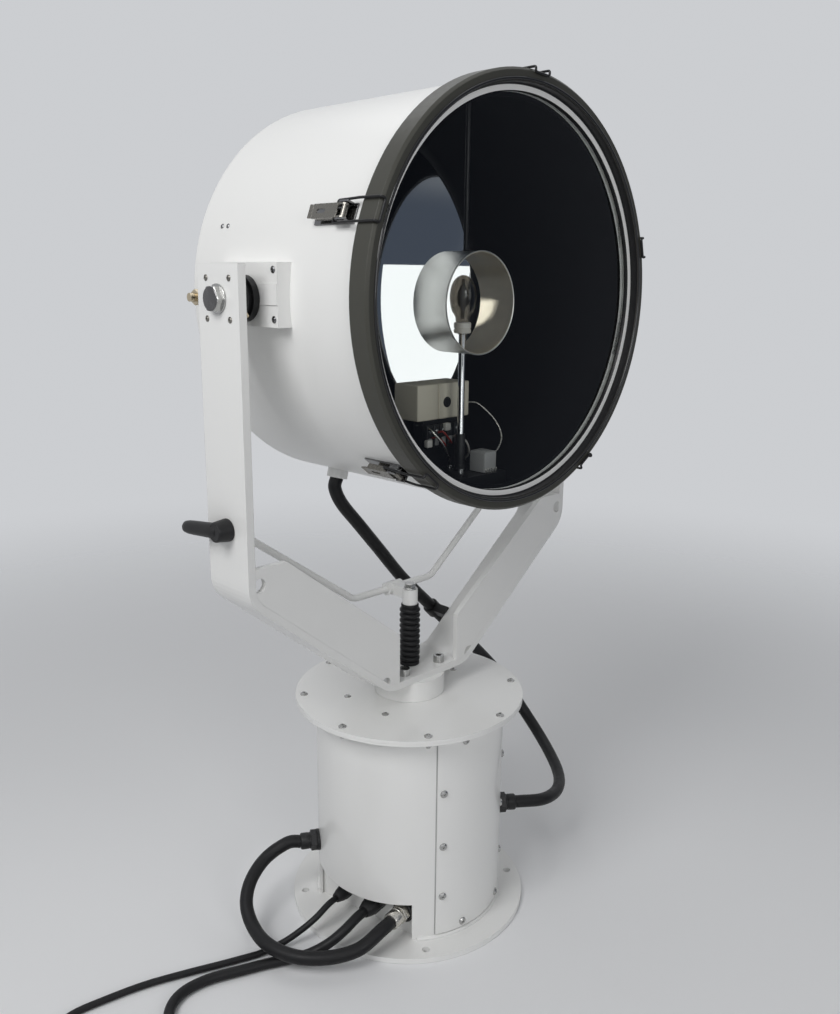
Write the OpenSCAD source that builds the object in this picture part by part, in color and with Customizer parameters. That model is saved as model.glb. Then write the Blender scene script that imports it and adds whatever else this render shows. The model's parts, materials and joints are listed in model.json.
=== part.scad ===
// Marine searchlight on a deck pedestal, with powered pan and tilt.
// Millimetres. The origin is the centre of the underside of the deck flange, with +Z up.
// The beam leaves along -Y, the lamp house tips about an X axis and the yoke turns about Z.

/* [Pedestal] */
// Radius of the deck flange
flange_r = 175; // [170:1:190]
// Thickness of the deck flange
flange_t = 8; // [6:0.5:12]
// Radius of the circle of deck bolts
deck_bolt_r = 158; // [154:1:162]
// Diameter of the deck bolt holes
deck_hole_d = 11; // [9:0.5:13]
// Outer radius of the column
column_r = 136.5; // [132:0.5:138]
// Wall of the column
column_wall = 4; // [3:0.5:5]
// Height of the top of the pedestal above the deck
base_h = 331; // [320:1:345]
// Radius of the top plate
plate_r = 166; // [162:1:170]
// Thickness of the top plate
plate_t = 4.5; // [4:0.5:6]
// Thickness of the ring welded on the column
ring_t = 3.5; // [3:0.5:5]
// Radius of the circle of plate screws
plate_screw_r = 154; // [151:1:156]
// Thickness of the access cover
cover_t = 2; // [1.5:0.5:3]
// Height of the cable window in the column
window_h = 56; // [50:1:62]

/* [Pan drive] */
// Radius of the pan hub
hub_r = 51; // [48:1:56]
// Height of the hub above the top plate
hub_h = 29; // [24:1:34]
// Radius of the hollow pan shaft
pan_shaft_r = 30; // [26:1:32]
// Teeth on the pan gear
gear_teeth = 70; // [60:2:72]
// Teeth on the motor pinion
pinion_teeth = 14; // [12:2:14]
// Module of the gear teeth
gear_module = 2; // [1.8:0.1:2]
// Face width of the gears
gear_w = 14; // [10:1:16]
// Radius of the pan motor
motor_r = 28; // [24:1:30]
// Radius of the tilt actuator
actuator_r = 32; // [28:1:36]

/* [Yoke] */
// Width of the yoke bar
bar_w = 80; // [74:1:84]
// Thickness of the yoke bar
bar_t = 10; // [8:1:12]
// Free space between the lamp house and each arm
side_gap = 46; // [44:1:50]
// Slope of the lower bars in degrees
yoke_slope = 39; // [36:1:41]
// Half length of the flat centre of the yoke
foot_half = 77; // [72:1:80]
// Inner radius of the bends
bend_r = 32; // [26:1:36]
// Height of the arms above the tilt axis
arm_over = 38; // [36:1:44]
// Thickness of the gusset webs
web_t = 8; // [6:1:10]
// Height of the gusset above the slope
web_rise = 43; // [40:1:50]
// Diameter of the yoke bolts
yoke_bolt_d = 10; // [8:1:10]

/* [Tilt] */
// Height of the tilt axis above the deck
axis_h = 893; // [880:1:910]
// Diameter of the trunnion bolts
trunnion_d = 18; // [14:1:20]
// Width of the trunnion bolt head across flats
trunnion_af = 27; // [25:1:30]
// Crank arm from the tilt axis to the rod stud
crank_arm = 64; // [60:1:66]
// Diameter of the rod stud
stud_d = 10; // [8:1:11]
// Diameter of the tilt rod
rod_d = 10; // [8:1:11]
// Height of the middle of the tilt rod
rod_h = 478; // [472:1:490]
// Half length of the straight middle of the tilt rod
rod_half = 77; // [70:1:84]
// Set back of the tilt rod behind the push rod
rod_back = 35; // [32:1:40]
// Diameter of the push rod
push_d = 12; // [10:1:14]
// Radius of the gaiter
gaiter_r = 15; // [13.5:0.5:17]

/* [Lamp house] */
// Outer radius of the barrel
barrel_r = 246; // [240:1:250]
// Wall of the barrel
barrel_wall = 2.5; // [2:0.5:3]
// Length of the barrel in front of the tilt axis
barrel_front = 171; // [166:1:176]
// Length of the barrel behind the tilt axis
barrel_rear = 135; // [130:1:140]
// Depth of the rear cover
cover_depth = 48; // [44:1:56]
// Space between the mirror and the inside of the barrel
mirror_edge = 12.5; // [10:0.5:17]
// Focal length of the mirror
focal = 244; // [236:1:250]
// Distance of the mirror's rim behind the tilt axis
mirror_back = 98; // [94:1:102]
// Thickness of the front glass
glass_t = 5; // [4:0.5:6]
// Radial width of the bezel around the barrel
bezel_over = 8; // [7:0.5:9]
// Length of the bezel
bezel_len = 27; // [25:1:29]
// Radial width of the seal, from the outside of the barrel
seal_w = 15; // [13:0.5:19]
// Radius of the spill ring
spill_r = 63; // [58:1:68]
// Length of the spill ring
spill_len = 57; // [50:1:62]
// Distance of the spill ring's middle below the beam axis
spill_drop = 6; // [0:1:8]
// Radius of the lamp bulb
lamp_r = 17; // [13:1:19]

/* [Latches] */
// Number of latches round the bezel
latch_count = 5; // [5:1:5]
// Angle of the first latch
latch_phase = 15; // [13:1:17]
// Thickness of the bail wire
wire_d = 3; // [2.5:0.5:3]

/* [Cords] */
// Diameter of the lamp and loop conduits
conduit_d = 19; // [17:1:20]
// Diameter of the supply cable
supply_d = 14; // [12:1:15]
// Diameter of the control cable
control_d = 9; // [8:0.5:10]

/* [Clearances] */
// Running gap round turning shafts
run_gap = 0.05; // [0.03:0.01:0.08]
// Gap between faces that move past each other
face_gap = 0.3; // [0.3:0.05:0.5]
// Gap round bolts in plain holes
bolt_gap = 0.5; // [0.3:0.1:0.8]
// Gap between the end of a cable or conduit and its seat
seat_gap = 0.3; // [0.2:0.05:0.5]

/* [Hidden] */
$fn = 96;
white = "#e8e8e4";
black = "#1d1d1f";
steel = "#b9bbbd";
olive = "#4b4c46";

// Pedestal heights
plate_z = base_h - plate_t;
ring_z = plate_z - ring_t;
column_in = column_r - column_wall;
shelf_z = 118;
shelf_t = 5;
cable_dir = 190;
window_from = 150;
window_to = 228;
gland_plate_d = 98;
gland_plate_t = 3;
gland_z = flange_t + 37;
control_across = -29;
supply_across = 22;
loop_across = 66;
gland_len = 40;
loop_fitting_len = 36;
side_fitting_len = 28;
// Azimuth and height of the two conduit ports in the column
loop_port = [148, 98];
lamp_port = [321, 135];
port_r = 8;
plate_screws = 8;
plate_screw_phase = 10;

// Fasteners shared by the covers
screw_r = 3;
screw_head_r = 5.5;
screw_head_h = 3;
nut_h = 5;

// Pan drive
hub_top = base_h + hub_h;
bearing_flange_r = 105;
bearing_flange_t = 8;
bearing_boss_r = pan_shaft_r + 18;
bearing_h = 46;
gear_z = plate_z - bearing_h - 4 - gear_w;
gear_pitch_r = gear_teeth*gear_module/2;
pinion_pitch_r = pinion_teeth*gear_module/2;
gear_centres = gear_pitch_r + pinion_pitch_r;
motor_az = 102;
pinion_shaft_r = 5;
motor_top = gear_z - 10;
actuator_top = gear_z - 30.5;

// Yoke outline
arm_in = barrel_r + side_gap;
arm_out = arm_in + bar_t;
arm_top = axis_h + arm_over;
arm_mid = arm_in + bar_t/2;
foot_mid_z = hub_top + bar_t/2;
bar_mid_half = foot_half - bar_t/2*tan(yoke_slope/2);
knee_z = foot_mid_z + (arm_mid - bar_mid_half)*tan(yoke_slope);
bend_mid = bend_r + bar_t/2;
foot_top = hub_top + bar_t;
yoke_bolt_x = 35;
yoke_bolt_y = 25;
bolt_head_h = 10;
web_in = 58;
web_flat = 46;

// Tilt drive
block_out = barrel_r + 18;
block_front = 57;
block_rear = crank_arm + 9;
block_up = 40;
block_down = 31;
// The middle of a block stands proud of its ends by this much, between these heights
pad_step = 1.2;
pad_up = 17;
pad_down = 6.5;
bearing_square = 22.5;
trunnion_flange_r = 36;
trunnion_flange_t = 6;
collar_r = 26;
collar_t = 8;
neck_r = 21;
rod_x = (block_out + arm_in)/2;
eye_r = stud_d/2 + 6;
eye_t = 8;
slot_len = 4.5;
leg_y = bar_w/2 + rod_d/2 + 5;
leg_z = rod_h + 144;
clamp_h = 22;
clamp_r = 11;
clamp_z = rod_h - clamp_h/2 - 5;
lever_y = -2;
lever_z = 628;
lever_stud_r = 5;

// Lamp house, measured forward from the tilt axis along the beam
barrel_in = barrel_r - barrel_wall;
seat_t = 3;
seat_w = 20;
seal_front = barrel_front + 12.3;
lip_back = barrel_front + 7;
bezel_front = barrel_front + 22;
bezel_r = barrel_r + bezel_over;
bezel_in = barrel_r - 6;
glass_r = barrel_r - 5;
mirror_t = 3;
mirror_r = barrel_in - mirror_edge;
clear_r = barrel_r - seal_w;
mirror_depth = mirror_r*mirror_r/(4*focal);
spill_wall = 1.5;
lamp_u = focal - mirror_depth - mirror_back;
spill_front = lamp_u + spill_len/2 + 3;
rail_top = barrel_r - 24;
box_low = rail_top - 65;
box_high = box_low - 47;
box_half_w = 49;
box_front = lamp_u - 30;
box_depth = 44;
post_r = 4.5;
strut_r = 3;
gland_u = -80;
gland_angle = -105;

// Latches, measured outward from the barrel and forward from the tilt axis
plate_front = barrel_front - 19;
plate_back = plate_front - 64;
pivot_h = 8;
pivot_s = plate_front - 12;
pin_r = 1.6;
bail_h = 7.4;
bail_s = pivot_s - 14;
bail_half_w = 12.6;
bail_over = bezel_over + wire_d/2 + 0.8;
bail_front = bezel_front + wire_d/2 + face_gap;
lever_half_w = 8.2;
ear_in = 8.6;
ear_t = 2;

// Coils of the free cables, laid flat on the deck
deck_gap = 0.2;
supply_coil_at = [-522, -100];
supply_coil_out = 98;
supply_coil_in = 56;
control_coil_at = [-600, 70];
control_coil_out = 68;
control_coil_in = 41;
boss_h = 12;
clip_x = 124;
clip_stand = 34;

// Ends of the conduits and cables, where they meet a fitting, a gland, a coil or the clip
function polar(r, a) = [r*cos(a), r*sin(a)];
function lifted(p, z) = [p[0], p[1], z];
function port_end(port, out) = lifted(polar(column_r + side_fitting_len + out, port[0]), port[1]);
function gland_end(across, out) =
    lifted(polar(gland_plate_d + out, cable_dir) + polar(across, cable_dir + 90), gland_z);
function boss_end(out) =
    let (q = polar(barrel_r + boss_h + out, gland_angle)) [q[0], -gland_u, axis_h + q[1]];
function coil_start(at, outer, d) = [at[0] + outer, at[1], d/2 + deck_gap];
function on_deck(points, d) = [for (q = points) [q[0], q[1], d/2 + deck_gap]];
clip_turn = 135;
clip_half = 8;
clip_dir = [sin(clip_turn), 0, cos(clip_turn)];
function clip_end(out) =
    [clip_x, bar_w/2 + clip_stand, foot_mid_z + (clip_x - bar_mid_half)*tan(yoke_slope)] + out*clip_dir;

// Routes between those ends, chosen by hand
upper_chord = clip_end(-14) - boss_end(15);
upper_route = concat([boss_end(seat_gap), boss_end(15)],
    [for (t = [0.1, 0.27, 0.47, 0.73]) boss_end(15) + upper_chord*t + [-4.5, 2, -4]],
    [clip_end(-14), clip_end(-seat_gap/2)]);
lower_route = concat([clip_end(seat_gap/2), clip_end(14)],
    [[160, 74, 370], [206, 78, 330], [252, 76, 285], [292, 62, 234], [312, 36, 184],
    [310, -4, 150], [292, -46, 131], [266, -82, 123], [236, -107, 122], [203, -121, 125], [167, -124, 131]],
    [port_end(lamp_port, 8), port_end(lamp_port, seat_gap)]);
loop_route = concat([port_end(loop_port, seat_gap), port_end(loop_port, 20)],
    [[-190, 106, 84], [-224, 96, 68], [-246, 76, 50], [-256, 44, 35], [-258, 6, 30], [-244, -34, 28],
    [-214, -66, 28], [-178, -87, 33]],
    [gland_end(loop_across, loop_fitting_len + 21), gland_end(loop_across, loop_fitting_len + seat_gap)]);
supply_route = concat(
    [gland_end(supply_across, gland_len + seat_gap), gland_end(supply_across, gland_len + 18)],
    [[-172, -48, 36], [-196, -40, 23], [-222, -24, 11.5]],
    on_deck([[-255, -2], [-295, 16], [-340, 34], [-378, 36], [-406, 18], [-420, -16], [-423, -56]], supply_d),
    [coil_start(supply_coil_at, supply_coil_out, supply_d)]);
control_route = concat(
    [gland_end(control_across, gland_len + seat_gap), gland_end(control_across, gland_len + 17)],
    [[-180, 2, 35], [-202, 9, 22], [-228, 19, 10]],
    on_deck([[-262, 30], [-305, 47], [-352, 67], [-402, 86], [-452, 98], [-494, 104], [-522, 94]], control_d),
    [coil_start(control_coil_at, control_coil_out, control_d)]);

// Directions and small vectors
function unit(v) = v/norm(v);
function latch_angle(i) = latch_phase + (i - 1)*360/latch_count;

// Frames that the pieces are placed in
module at_polar(r, a, z) {
    translate([r*cos(a), r*sin(a), z]) rotate([0, 0, a]) children();
}
// Local Z points away from the pan axis at azimuth a
module outward(r, a, z) {
    at_polar(r, a, z) rotate([0, 90, 0]) children();
}
// Local Z points forward along the beam, local Y up
module house_frame() {
    translate([0, 0, axis_h]) rotate([90, 0, 0]) children();
}
// Local X points away from the barrel, local Z forward
module latch_frame(i) {
    house_frame() rotate([0, 0, latch_angle(i)]) translate([barrel_r, 0, 0]) children();
}
// Local Z points along +X from the middle of the tilt axis
module trunnion_frame(y = 0) {
    translate([0, y, axis_h]) rotate([0, 90, 0]) children();
}
module both_sides() {
    children();
    mirror([1, 0, 0]) children();
}
// Local Z points out of the gland plate, across is the place along the plate
module gland_frame(across) {
    rotate([0, 0, cable_dir]) translate([gland_plate_d, across, gland_z]) rotate([0, 90, 0]) children();
}

// Shapes that repeat
module button_screw(r, head_r, head_h, length) {
    difference() {
        rotate_extrude($fn = 24)
            polygon([[0, -length], [r, -length], [r, 0], [head_r, 0], [head_r, head_h*0.4],
                [head_r*0.62, head_h], [0, head_h]]);
        translate([0, 0, head_h*0.45]) cylinder(r = r*0.62, h = head_h, $fn = 6);
    }
}
module hex_nut(af, h, bore_r) {
    difference() {
        cylinder(r = af/2/cos(30), h = h, $fn = 6);
        translate([0, 0, -1]) cylinder(r = bore_r, h = h + 2, $fn = 32);
    }
}
module sector(r, a0, a1, h) {
    steps = ceil((a1 - a0)/30);
    linear_extrude(h)
        polygon(concat([[0, 0]], [for (i = [0:steps]) polar(r, a0 + (a1 - a0)*i/steps)]));
}
module tube(r_out, r_in, h) {
    difference() {
        cylinder(r = r_out, h = h);
        translate([0, 0, -1]) cylinder(r = r_in, h = h + 2);
    }
}
module gear_2d(teeth) {
    r = teeth*gear_module/2;
    tip = r + 0.8*gear_module;
    root = r - 1.2*gear_module;
    half = 90/teeth*0.86;
    flank = [[-1.55, root], [-1, r], [-0.5, tip], [0.5, tip], [1, r], [1.55, root]];
    polygon([for (i = [0:teeth - 1], k = flank) polar(k[1], i*360/teeth + k[0]*half)]);
}

// A strip of even thickness along a line with rounded bends, as an outline
function bend_points(p, i, r, side, steps = 6) =
    let (a = unit(p[i] - p[i - 1]), b = unit(p[i + 1] - p[i]))
    let (turn = atan2(a[0]*b[1] - a[1]*b[0], a*b))
    let (s = sign(turn), start = p[i] - a*r*tan(abs(turn)/2))
    let (centre = start + s*r*[-a[1], a[0]], from = atan2(-s*a[0], s*a[1]))
    [for (k = [0:steps]) centre + polar(r - s*side, from + turn*k/steps)];
function strip_side(p, r, side) =
    let (n = len(p) - 1, first = unit(p[1] - p[0]), last = unit(p[n] - p[n - 1]))
    concat([p[0] + side*[-first[1], first[0]]],
        [for (i = [1:n - 1], q = bend_points(p, i, r, side)) q],
        [p[n] + side*[-last[1], last[0]]]);
function reversed(p) = [for (i = [len(p) - 1:-1:0]) p[i]];
yoke_line = [[-arm_mid, arm_top], [-arm_mid, knee_z], [-bar_mid_half, foot_mid_z],
    [bar_mid_half, foot_mid_z], [arm_mid, knee_z], [arm_mid, arm_top]];
module yoke_outline() {
    polygon(concat(strip_side(yoke_line, bend_mid, bar_t/2),
        reversed(strip_side(yoke_line, bend_mid, -bar_t/2))));
}
// Stands an XZ outline up, from y0 towards +Y
module upright(y0, depth) {
    translate([0, y0 + depth, 0]) rotate([90, 0, 0]) linear_extrude(depth) children();
}

// A round tube swept along a route, with rings between the points on a smooth curve
function on_curve(p, i, t) =
    let (a = p[max(i - 1, 0)], b = p[i], c = p[i + 1], d = p[min(i + 2, len(p) - 1)])
    0.5*(2*b + (c - a)*t + (2*a - 5*b + 4*c - d)*t*t + (3*b - a - 3*c + d)*t*t*t);
// The rings next to the ends lie close, so the ends face straight along the route
function smooth(p) =
    let (n = len(p) - 2)
    concat([p[0], on_curve(p, 0, 0.02)],
        [for (i = [0:n], t = i == 0 ? [0.5] : [0, 0.5]) on_curve(p, i, t)],
        [on_curve(p, n, 0.98), p[n + 1]]);
// The same line of points with each corner bent to radius b
function corner_arc(p, i, b, steps = 4) =
    let (u = unit(p[i] - p[i - 1]), v = unit(p[i + 1] - p[i]))
    let (turn = acos(u*v), n = unit(v - (u*v)*u))
    let (centre = p[i] - u*b*tan(turn/2) + b*n)
    [for (k = [0:steps]) centre + b*(sin(turn*k/steps)*u - cos(turn*k/steps)*n)];
function bent(p, b) =
    concat([p[0]], [for (i = [1:len(p) - 2], q = corner_arc(p, i, b)) q], [p[len(p) - 1]]);
function headings(p) = [for (i = [0:len(p) - 1]) unit(p[min(i + 1, len(p) - 1)] - p[max(i - 1, 0)])];
function carried(d, i, n) =
    i == len(d) ? [] : let (m = unit(n - (n*d[i])*d[i])) concat([m], carried(d, i + 1, m));
module swept(p, r, side, k = 10) {
    d = headings(p);
    n = carried(d, 0, side);
    rings = len(p);
    points = [for (i = [0:rings - 1], j = [0:k - 1])
        p[i] + r*(cos(360*j/k)*n[i] + sin(360*j/k)*cross(d[i], n[i]))];
    walls = [for (i = [0:rings - 2], j = [0:k - 1], f = [0, 1])
        let (a = i*k + j, b = i*k + (j + 1)%k)
        f == 0 ? [a, a + k, b] : [b, a + k, b + k]];
    polyhedron(points, concat([[for (j = [0:k - 1]) j]], walls,
        [[for (j = [k - 1:-1:0]) (rings - 1)*k + j]]));
}

// Pedestal
module base_flange() {
    color(white) difference() {
        tube(flange_r, column_in - 40, flange_t);
        for (i = [0:3])
            at_polar(deck_bolt_r, 55 + 90*i, -1) cylinder(d = deck_hole_d, h = flange_t + 2);
    }
}
cover_from = 242;
cover_to = 313;
cover_low = flange_t + 6;
cover_high = ring_z - 8;
cover_margin = 18;
module plate_screw_places(z) {
    for (i = [0:plate_screws - 1])
        at_polar(plate_screw_r, plate_screw_phase + i*360/plate_screws, z) children();
}
module base_column() {
    color(white) difference() {
        union() {
            translate([0, 0, flange_t]) tube(column_r, column_in, ring_z - flange_t);
            translate([0, 0, ring_z]) tube(plate_r, column_in, ring_t);
            translate([0, 0, shelf_z]) tube(column_in + 1, 20, shelf_t);
        }
        translate([0, 0, flange_t - 1]) sector(2*column_r, window_from, window_to, window_h + 1);
        translate([0, 0, cover_low + cover_margin])
            difference() {
                sector(2*column_r, cover_from + 8, cover_to - 8, cover_high - cover_low - 2*cover_margin);
                cylinder(r = column_in - 1, h = cover_high);
            }
        outward(column_in - 3, loop_port[0], loop_port[1]) cylinder(r = port_r, h = 12);
        outward(column_in - 3, lamp_port[0], lamp_port[1]) cylinder(r = port_r, h = 12);
        for (s = cover_screw_places())
            outward(column_in - 3, s[0], s[1]) cylinder(r = screw_r, h = 12);
        plate_screw_places(ring_z - 1) cylinder(r = screw_r + bolt_gap, h = 20);
    }
}
// Azimuth and height of the cover screws: three down each side, two along the top and the bottom
function cover_part(u, v) = [cover_from + (cover_to - cover_from)*u, cover_low + (cover_high - cover_low)*v];
function cover_screw_places() = concat(
    [for (v = [0.2, 0.46, 0.73], u = [0.056, 0.944]) cover_part(u, v)],
    [for (v = [0.03, 0.97], u = [0.25, 0.75]) cover_part(u, v)]);
module access_cover() {
    color(white) difference() {
        intersection() {
            translate([0, 0, cover_low]) tube(column_r + cover_t, column_r, cover_high - cover_low);
            translate([0, 0, cover_low - 1]) sector(2*column_r, cover_from, cover_to, base_h);
        }
        for (s = cover_screw_places())
            outward(column_in, s[0], s[1]) cylinder(r = screw_r + bolt_gap, h = 20);
    }
}
motor_screw_az = [0, 50, 155, 205];
motor_screw_r = 94;
module base_screws() {
    color(steel) {
        for (s = cover_screw_places())
            outward(column_r + cover_t, s[0], s[1])
                button_screw(screw_r, screw_head_r, screw_head_h, cover_t + column_wall);
        plate_screw_places(base_h)
            button_screw(screw_r, screw_head_r, screw_head_h, plate_t + ring_t + nut_h + 3);
        plate_screw_places(ring_z - nut_h) hex_nut(10, nut_h, screw_r);
        for (a = motor_screw_az)
            at_polar(motor_screw_r, a, base_h)
                button_screw(screw_r, screw_head_r - 0.5, 2, plate_t + bearing_flange_t);
    }
}
module top_plate() {
    color(white) translate([0, 0, plate_z]) difference() {
        tube(plate_r, pan_shaft_r + 4, plate_t);
        plate_screw_places(-1) cylinder(r = screw_r + bolt_gap, h = plate_t + 2);
        for (a = motor_screw_az)
            at_polar(motor_screw_r, a, -1) cylinder(r = screw_r + bolt_gap, h = plate_t + 2);
    }
}
module gland_plate() {
    half = sqrt(column_in*column_in - pow(gland_plate_d, 2)) - 0.5;
    color(white) difference() {
        rotate([0, 0, cable_dir]) translate([gland_plate_d - gland_plate_t, -half, flange_t])
            cube([gland_plate_t, 2*half, 64]);
        gland_frame(control_across) translate([0, 0, -10]) cylinder(r = control_d/2 + 3, h = 20);
        gland_frame(supply_across) translate([0, 0, -10]) cylinder(r = supply_d/2 + 3, h = 20);
        gland_frame(loop_across) translate([0, 0, -10]) cylinder(r = conduit_d/2, h = 20);
    }
}
// A cable gland: hex body on the plate, ribbed dome nut, threaded tail through the plate
module gland(cable_r) {
    body_r = cable_r + 6;
    difference() {
        union() {
            translate([0, 0, -8]) cylinder(r = cable_r + 3, h = 9, $fn = 48);
            cylinder(r = body_r + 1.5, h = 7, $fn = 6);
            rotate_extrude($fn = 48) polygon([[0, 7], [body_r - 1, 7], [body_r - 1, 12], [body_r, 12],
                [body_r, 27], [cable_r + 2, gland_len], [0, gland_len]]);
        }
        translate([0, 0, -9]) cylinder(r = cable_r - 1, h = gland_len + 8, $fn = 48);
    }
}
module cable_glands() {
    color(black) {
        gland_frame(control_across) gland(control_d/2);
        gland_frame(supply_across) gland(supply_d/2);
    }
}
// A conduit fitting: flange nut, hex and ferrule, bored for the wires
module fitting(length) {
    r = conduit_d/2;
    difference() {
        union() {
            translate([0, 0, -7]) cylinder(r = port_r, h = 8, $fn = 48);
            cylinder(r = r + 6, h = 4, $fn = 48);
            translate([0, 0, 4]) cylinder(r = r + 5.5, h = 9, $fn = 6);
            translate([0, 0, 13]) cylinder(r = r + 2.5, h = length - 13, $fn = 48);
        }
        translate([0, 0, -8]) cylinder(r = port_r - 2, h = length + 7, $fn = 48);
    }
}
module conduit_fittings() {
    color(steel) {
        gland_frame(loop_across) fitting(loop_fitting_len);
        outward(column_r, loop_port[0], loop_port[1]) fitting(side_fitting_len);
        outward(column_r, lamp_port[0], lamp_port[1]) fitting(side_fitting_len);
    }
}
module loop_conduit() {
    color(black) swept(smooth(loop_route), conduit_d/2, [0, 0, 1]);
}
module pan_bearing() {
    color(steel) difference() {
        union() {
            translate([0, 0, plate_z - bearing_flange_t])
                cylinder(r = bearing_flange_r, h = bearing_flange_t);
            translate([0, 0, plate_z - bearing_h]) cylinder(r = bearing_boss_r, h = bearing_h);
        }
        translate([0, 0, plate_z - bearing_h - 1]) cylinder(r = pan_shaft_r + run_gap, h = bearing_h + 2);
        for (a = motor_screw_az)
            at_polar(motor_screw_r, a, plate_z - bearing_flange_t - 1) cylinder(r = screw_r, h = 20);
    }
}
module pan_motor() {
    floor_z = shelf_z + shelf_t;
    color("#3a3d42") at_polar(gear_centres, motor_az, 0) difference() {
        union() {
            translate([0, 0, floor_z]) cylinder(r = motor_r, h = motor_top - floor_z - 14);
            translate([0, 0, motor_top - 14]) cylinder(r = motor_r*0.7, h = 14);
            translate([-motor_r, -motor_r, floor_z]) cube([2*motor_r, 2*motor_r, 5]);
        }
        translate([0, 0, motor_top - 30]) cylinder(r = pinion_shaft_r + run_gap, h = 31);
    }
}
module tilt_actuator() {
    floor_z = shelf_z + shelf_t;
    color("#6a6d70") difference() {
        union() {
            translate([0, 0, floor_z]) cylinder(r = actuator_r, h = 70);
            translate([0, 0, floor_z + 70]) cylinder(r = actuator_r*0.6, h = actuator_top - floor_z - 70);
        }
        translate([0, 0, floor_z + 5]) cylinder(r = push_d/2 + run_gap, h = base_h);
    }
}

// Free cables
module supply_cable() {
    color(black) swept(smooth(supply_route), supply_d/2, [0, 0, 1]);
}
module control_cable() {
    color(black) swept(smooth(control_route), control_d/2, [0, 0, 1]);
}
module flat_coil(at, outer, inner, d) {
    translate([at[0], at[1], deck_gap]) tube(outer + d/2, inner - d/2, d);
}
module supply_coil() {
    color(black) flat_coil(supply_coil_at, supply_coil_out, supply_coil_in, supply_d);
}
module control_coil() {
    color(black) flat_coil(control_coil_at, control_coil_out, control_coil_in, control_d);
}
// A round inline connector lying on its coil, with a coupling ring
module connector(r, length) {
    rotate([-90, 0, 0]) rotate_extrude($fn = 48)
        polygon([[0, 0], [r*0.55, 0], [r*0.7, length*0.3], [r*0.9, length*0.32], [r*0.9, length*0.58],
            [r, length*0.6], [r, length*0.9], [r*0.85, length*0.92], [r*0.85, length], [0, length]]);
}
module supply_connector() {
    r = 15;
    color(black) translate(lifted(supply_coil_at - [supply_coil_in + 12, 20], supply_d + 2*deck_gap + r))
        connector(r, 78);
}
module control_connector() {
    r = 10;
    color(black) translate(lifted(control_coil_at - [control_coil_in + 8, 14], control_d + 2*deck_gap + r))
        connector(r, 56);
}

// Pan drive that turns
module pan_pinion() {
    color(steel) at_polar(gear_centres, motor_az, 0) {
        translate([0, 0, gear_z]) rotate([0, 0, 180 + 180/pinion_teeth])
            linear_extrude(gear_w) gear_2d(pinion_teeth);
        translate([0, 0, motor_top - 28]) cylinder(r = pinion_shaft_r, h = gear_z + gear_w - motor_top + 28);
    }
}
module pan_gear() {
    color(steel) translate([0, 0, gear_z]) difference() {
        rotate([0, 0, motor_az]) linear_extrude(gear_w) gear_2d(gear_teeth);
        translate([0, 0, -1]) cylinder(r = pan_shaft_r, h = gear_w + 2);
    }
}
module pan_hub() {
    color(white) difference() {
        union() {
            translate([0, 0, base_h + face_gap]) cylinder(r = hub_r, h = hub_h - face_gap);
            translate([0, 0, gear_z - 3]) cylinder(r = pan_shaft_r, h = base_h - gear_z + 4);
        }
        translate([0, 0, gear_z - 4]) cylinder(r = push_d/2 + run_gap, h = base_h);
        for (x = [-1, 1], y = [-1, 1])
            translate([x*yoke_bolt_x, y*yoke_bolt_y, hub_top - 20]) cylinder(d = yoke_bolt_d, h = 30);
    }
}

// Yoke
module yoke_bar() {
    color(white) difference() {
        upright(-bar_w/2, bar_w) yoke_outline();
        translate([0, 0, hub_top - 5]) cylinder(r = push_d/2 + 2, h = 20);
        for (x = [-1, 1], y = [-1, 1])
            translate([x*yoke_bolt_x, y*yoke_bolt_y, hub_top - 5])
                cylinder(d = yoke_bolt_d + 2*bolt_gap, h = 20);
        trunnion_frame() translate([0, 0, -2*arm_out])
            cylinder(d = trunnion_d + 4*bolt_gap, h = 4*arm_out);
        both_sides() for (y = [-1, 1], z = [-1, 1])
            translate([arm_in - 5, y*bearing_square, axis_h + z*bearing_square]) rotate([0, 90, 0])
                cylinder(r = 2.5, h = 30, $fn = 24);
        translate([-arm_out - 5, lever_y, lever_z]) rotate([0, 90, 0])
            cylinder(r = lever_stud_r + run_gap, h = 30);
    }
}
module web_outline() {
    low_x = foot_half + bar_t*0.3;
    low_z = foot_top - 1;
    knee_in_z = knee_z + bar_t*0.35;
    top_z = hub_top + (arm_out - foot_half)*tan(yoke_slope) + web_rise;
    sharp = foot_top + 70;
    difference() {
        polygon([[-arm_in - 1, top_z], [-arm_in + web_flat, top_z], [-web_in, sharp], [-web_in, low_z],
            [-low_x, low_z], [-arm_in - 1, knee_in_z]]);
        yoke_outline();
        translate([-low_x - 4, foot_top + 6]) circle(r = 9, $fn = 32);
        translate([-arm_in + 5, knee_in_z + 16]) circle(r = 9, $fn = 32);
    }
}
module yoke_webs() {
    color(white) both_sides() upright(-bar_w/2, web_t) web_outline();
}
module yoke_bolts() {
    color(steel) for (x = [-1, 1], y = [-1, 1])
        translate([x*yoke_bolt_x, y*yoke_bolt_y, foot_top]) difference() {
            union() {
                cylinder(d = yoke_bolt_d*1.6, h = bolt_head_h, $fn = 48);
                translate([0, 0, -bar_t - 18]) cylinder(d = yoke_bolt_d, h = bar_t + 19, $fn = 48);
            }
            translate([0, 0, bolt_head_h*0.5]) cylinder(d = yoke_bolt_d*0.9, h = bolt_head_h, $fn = 6);
        }
}
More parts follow.
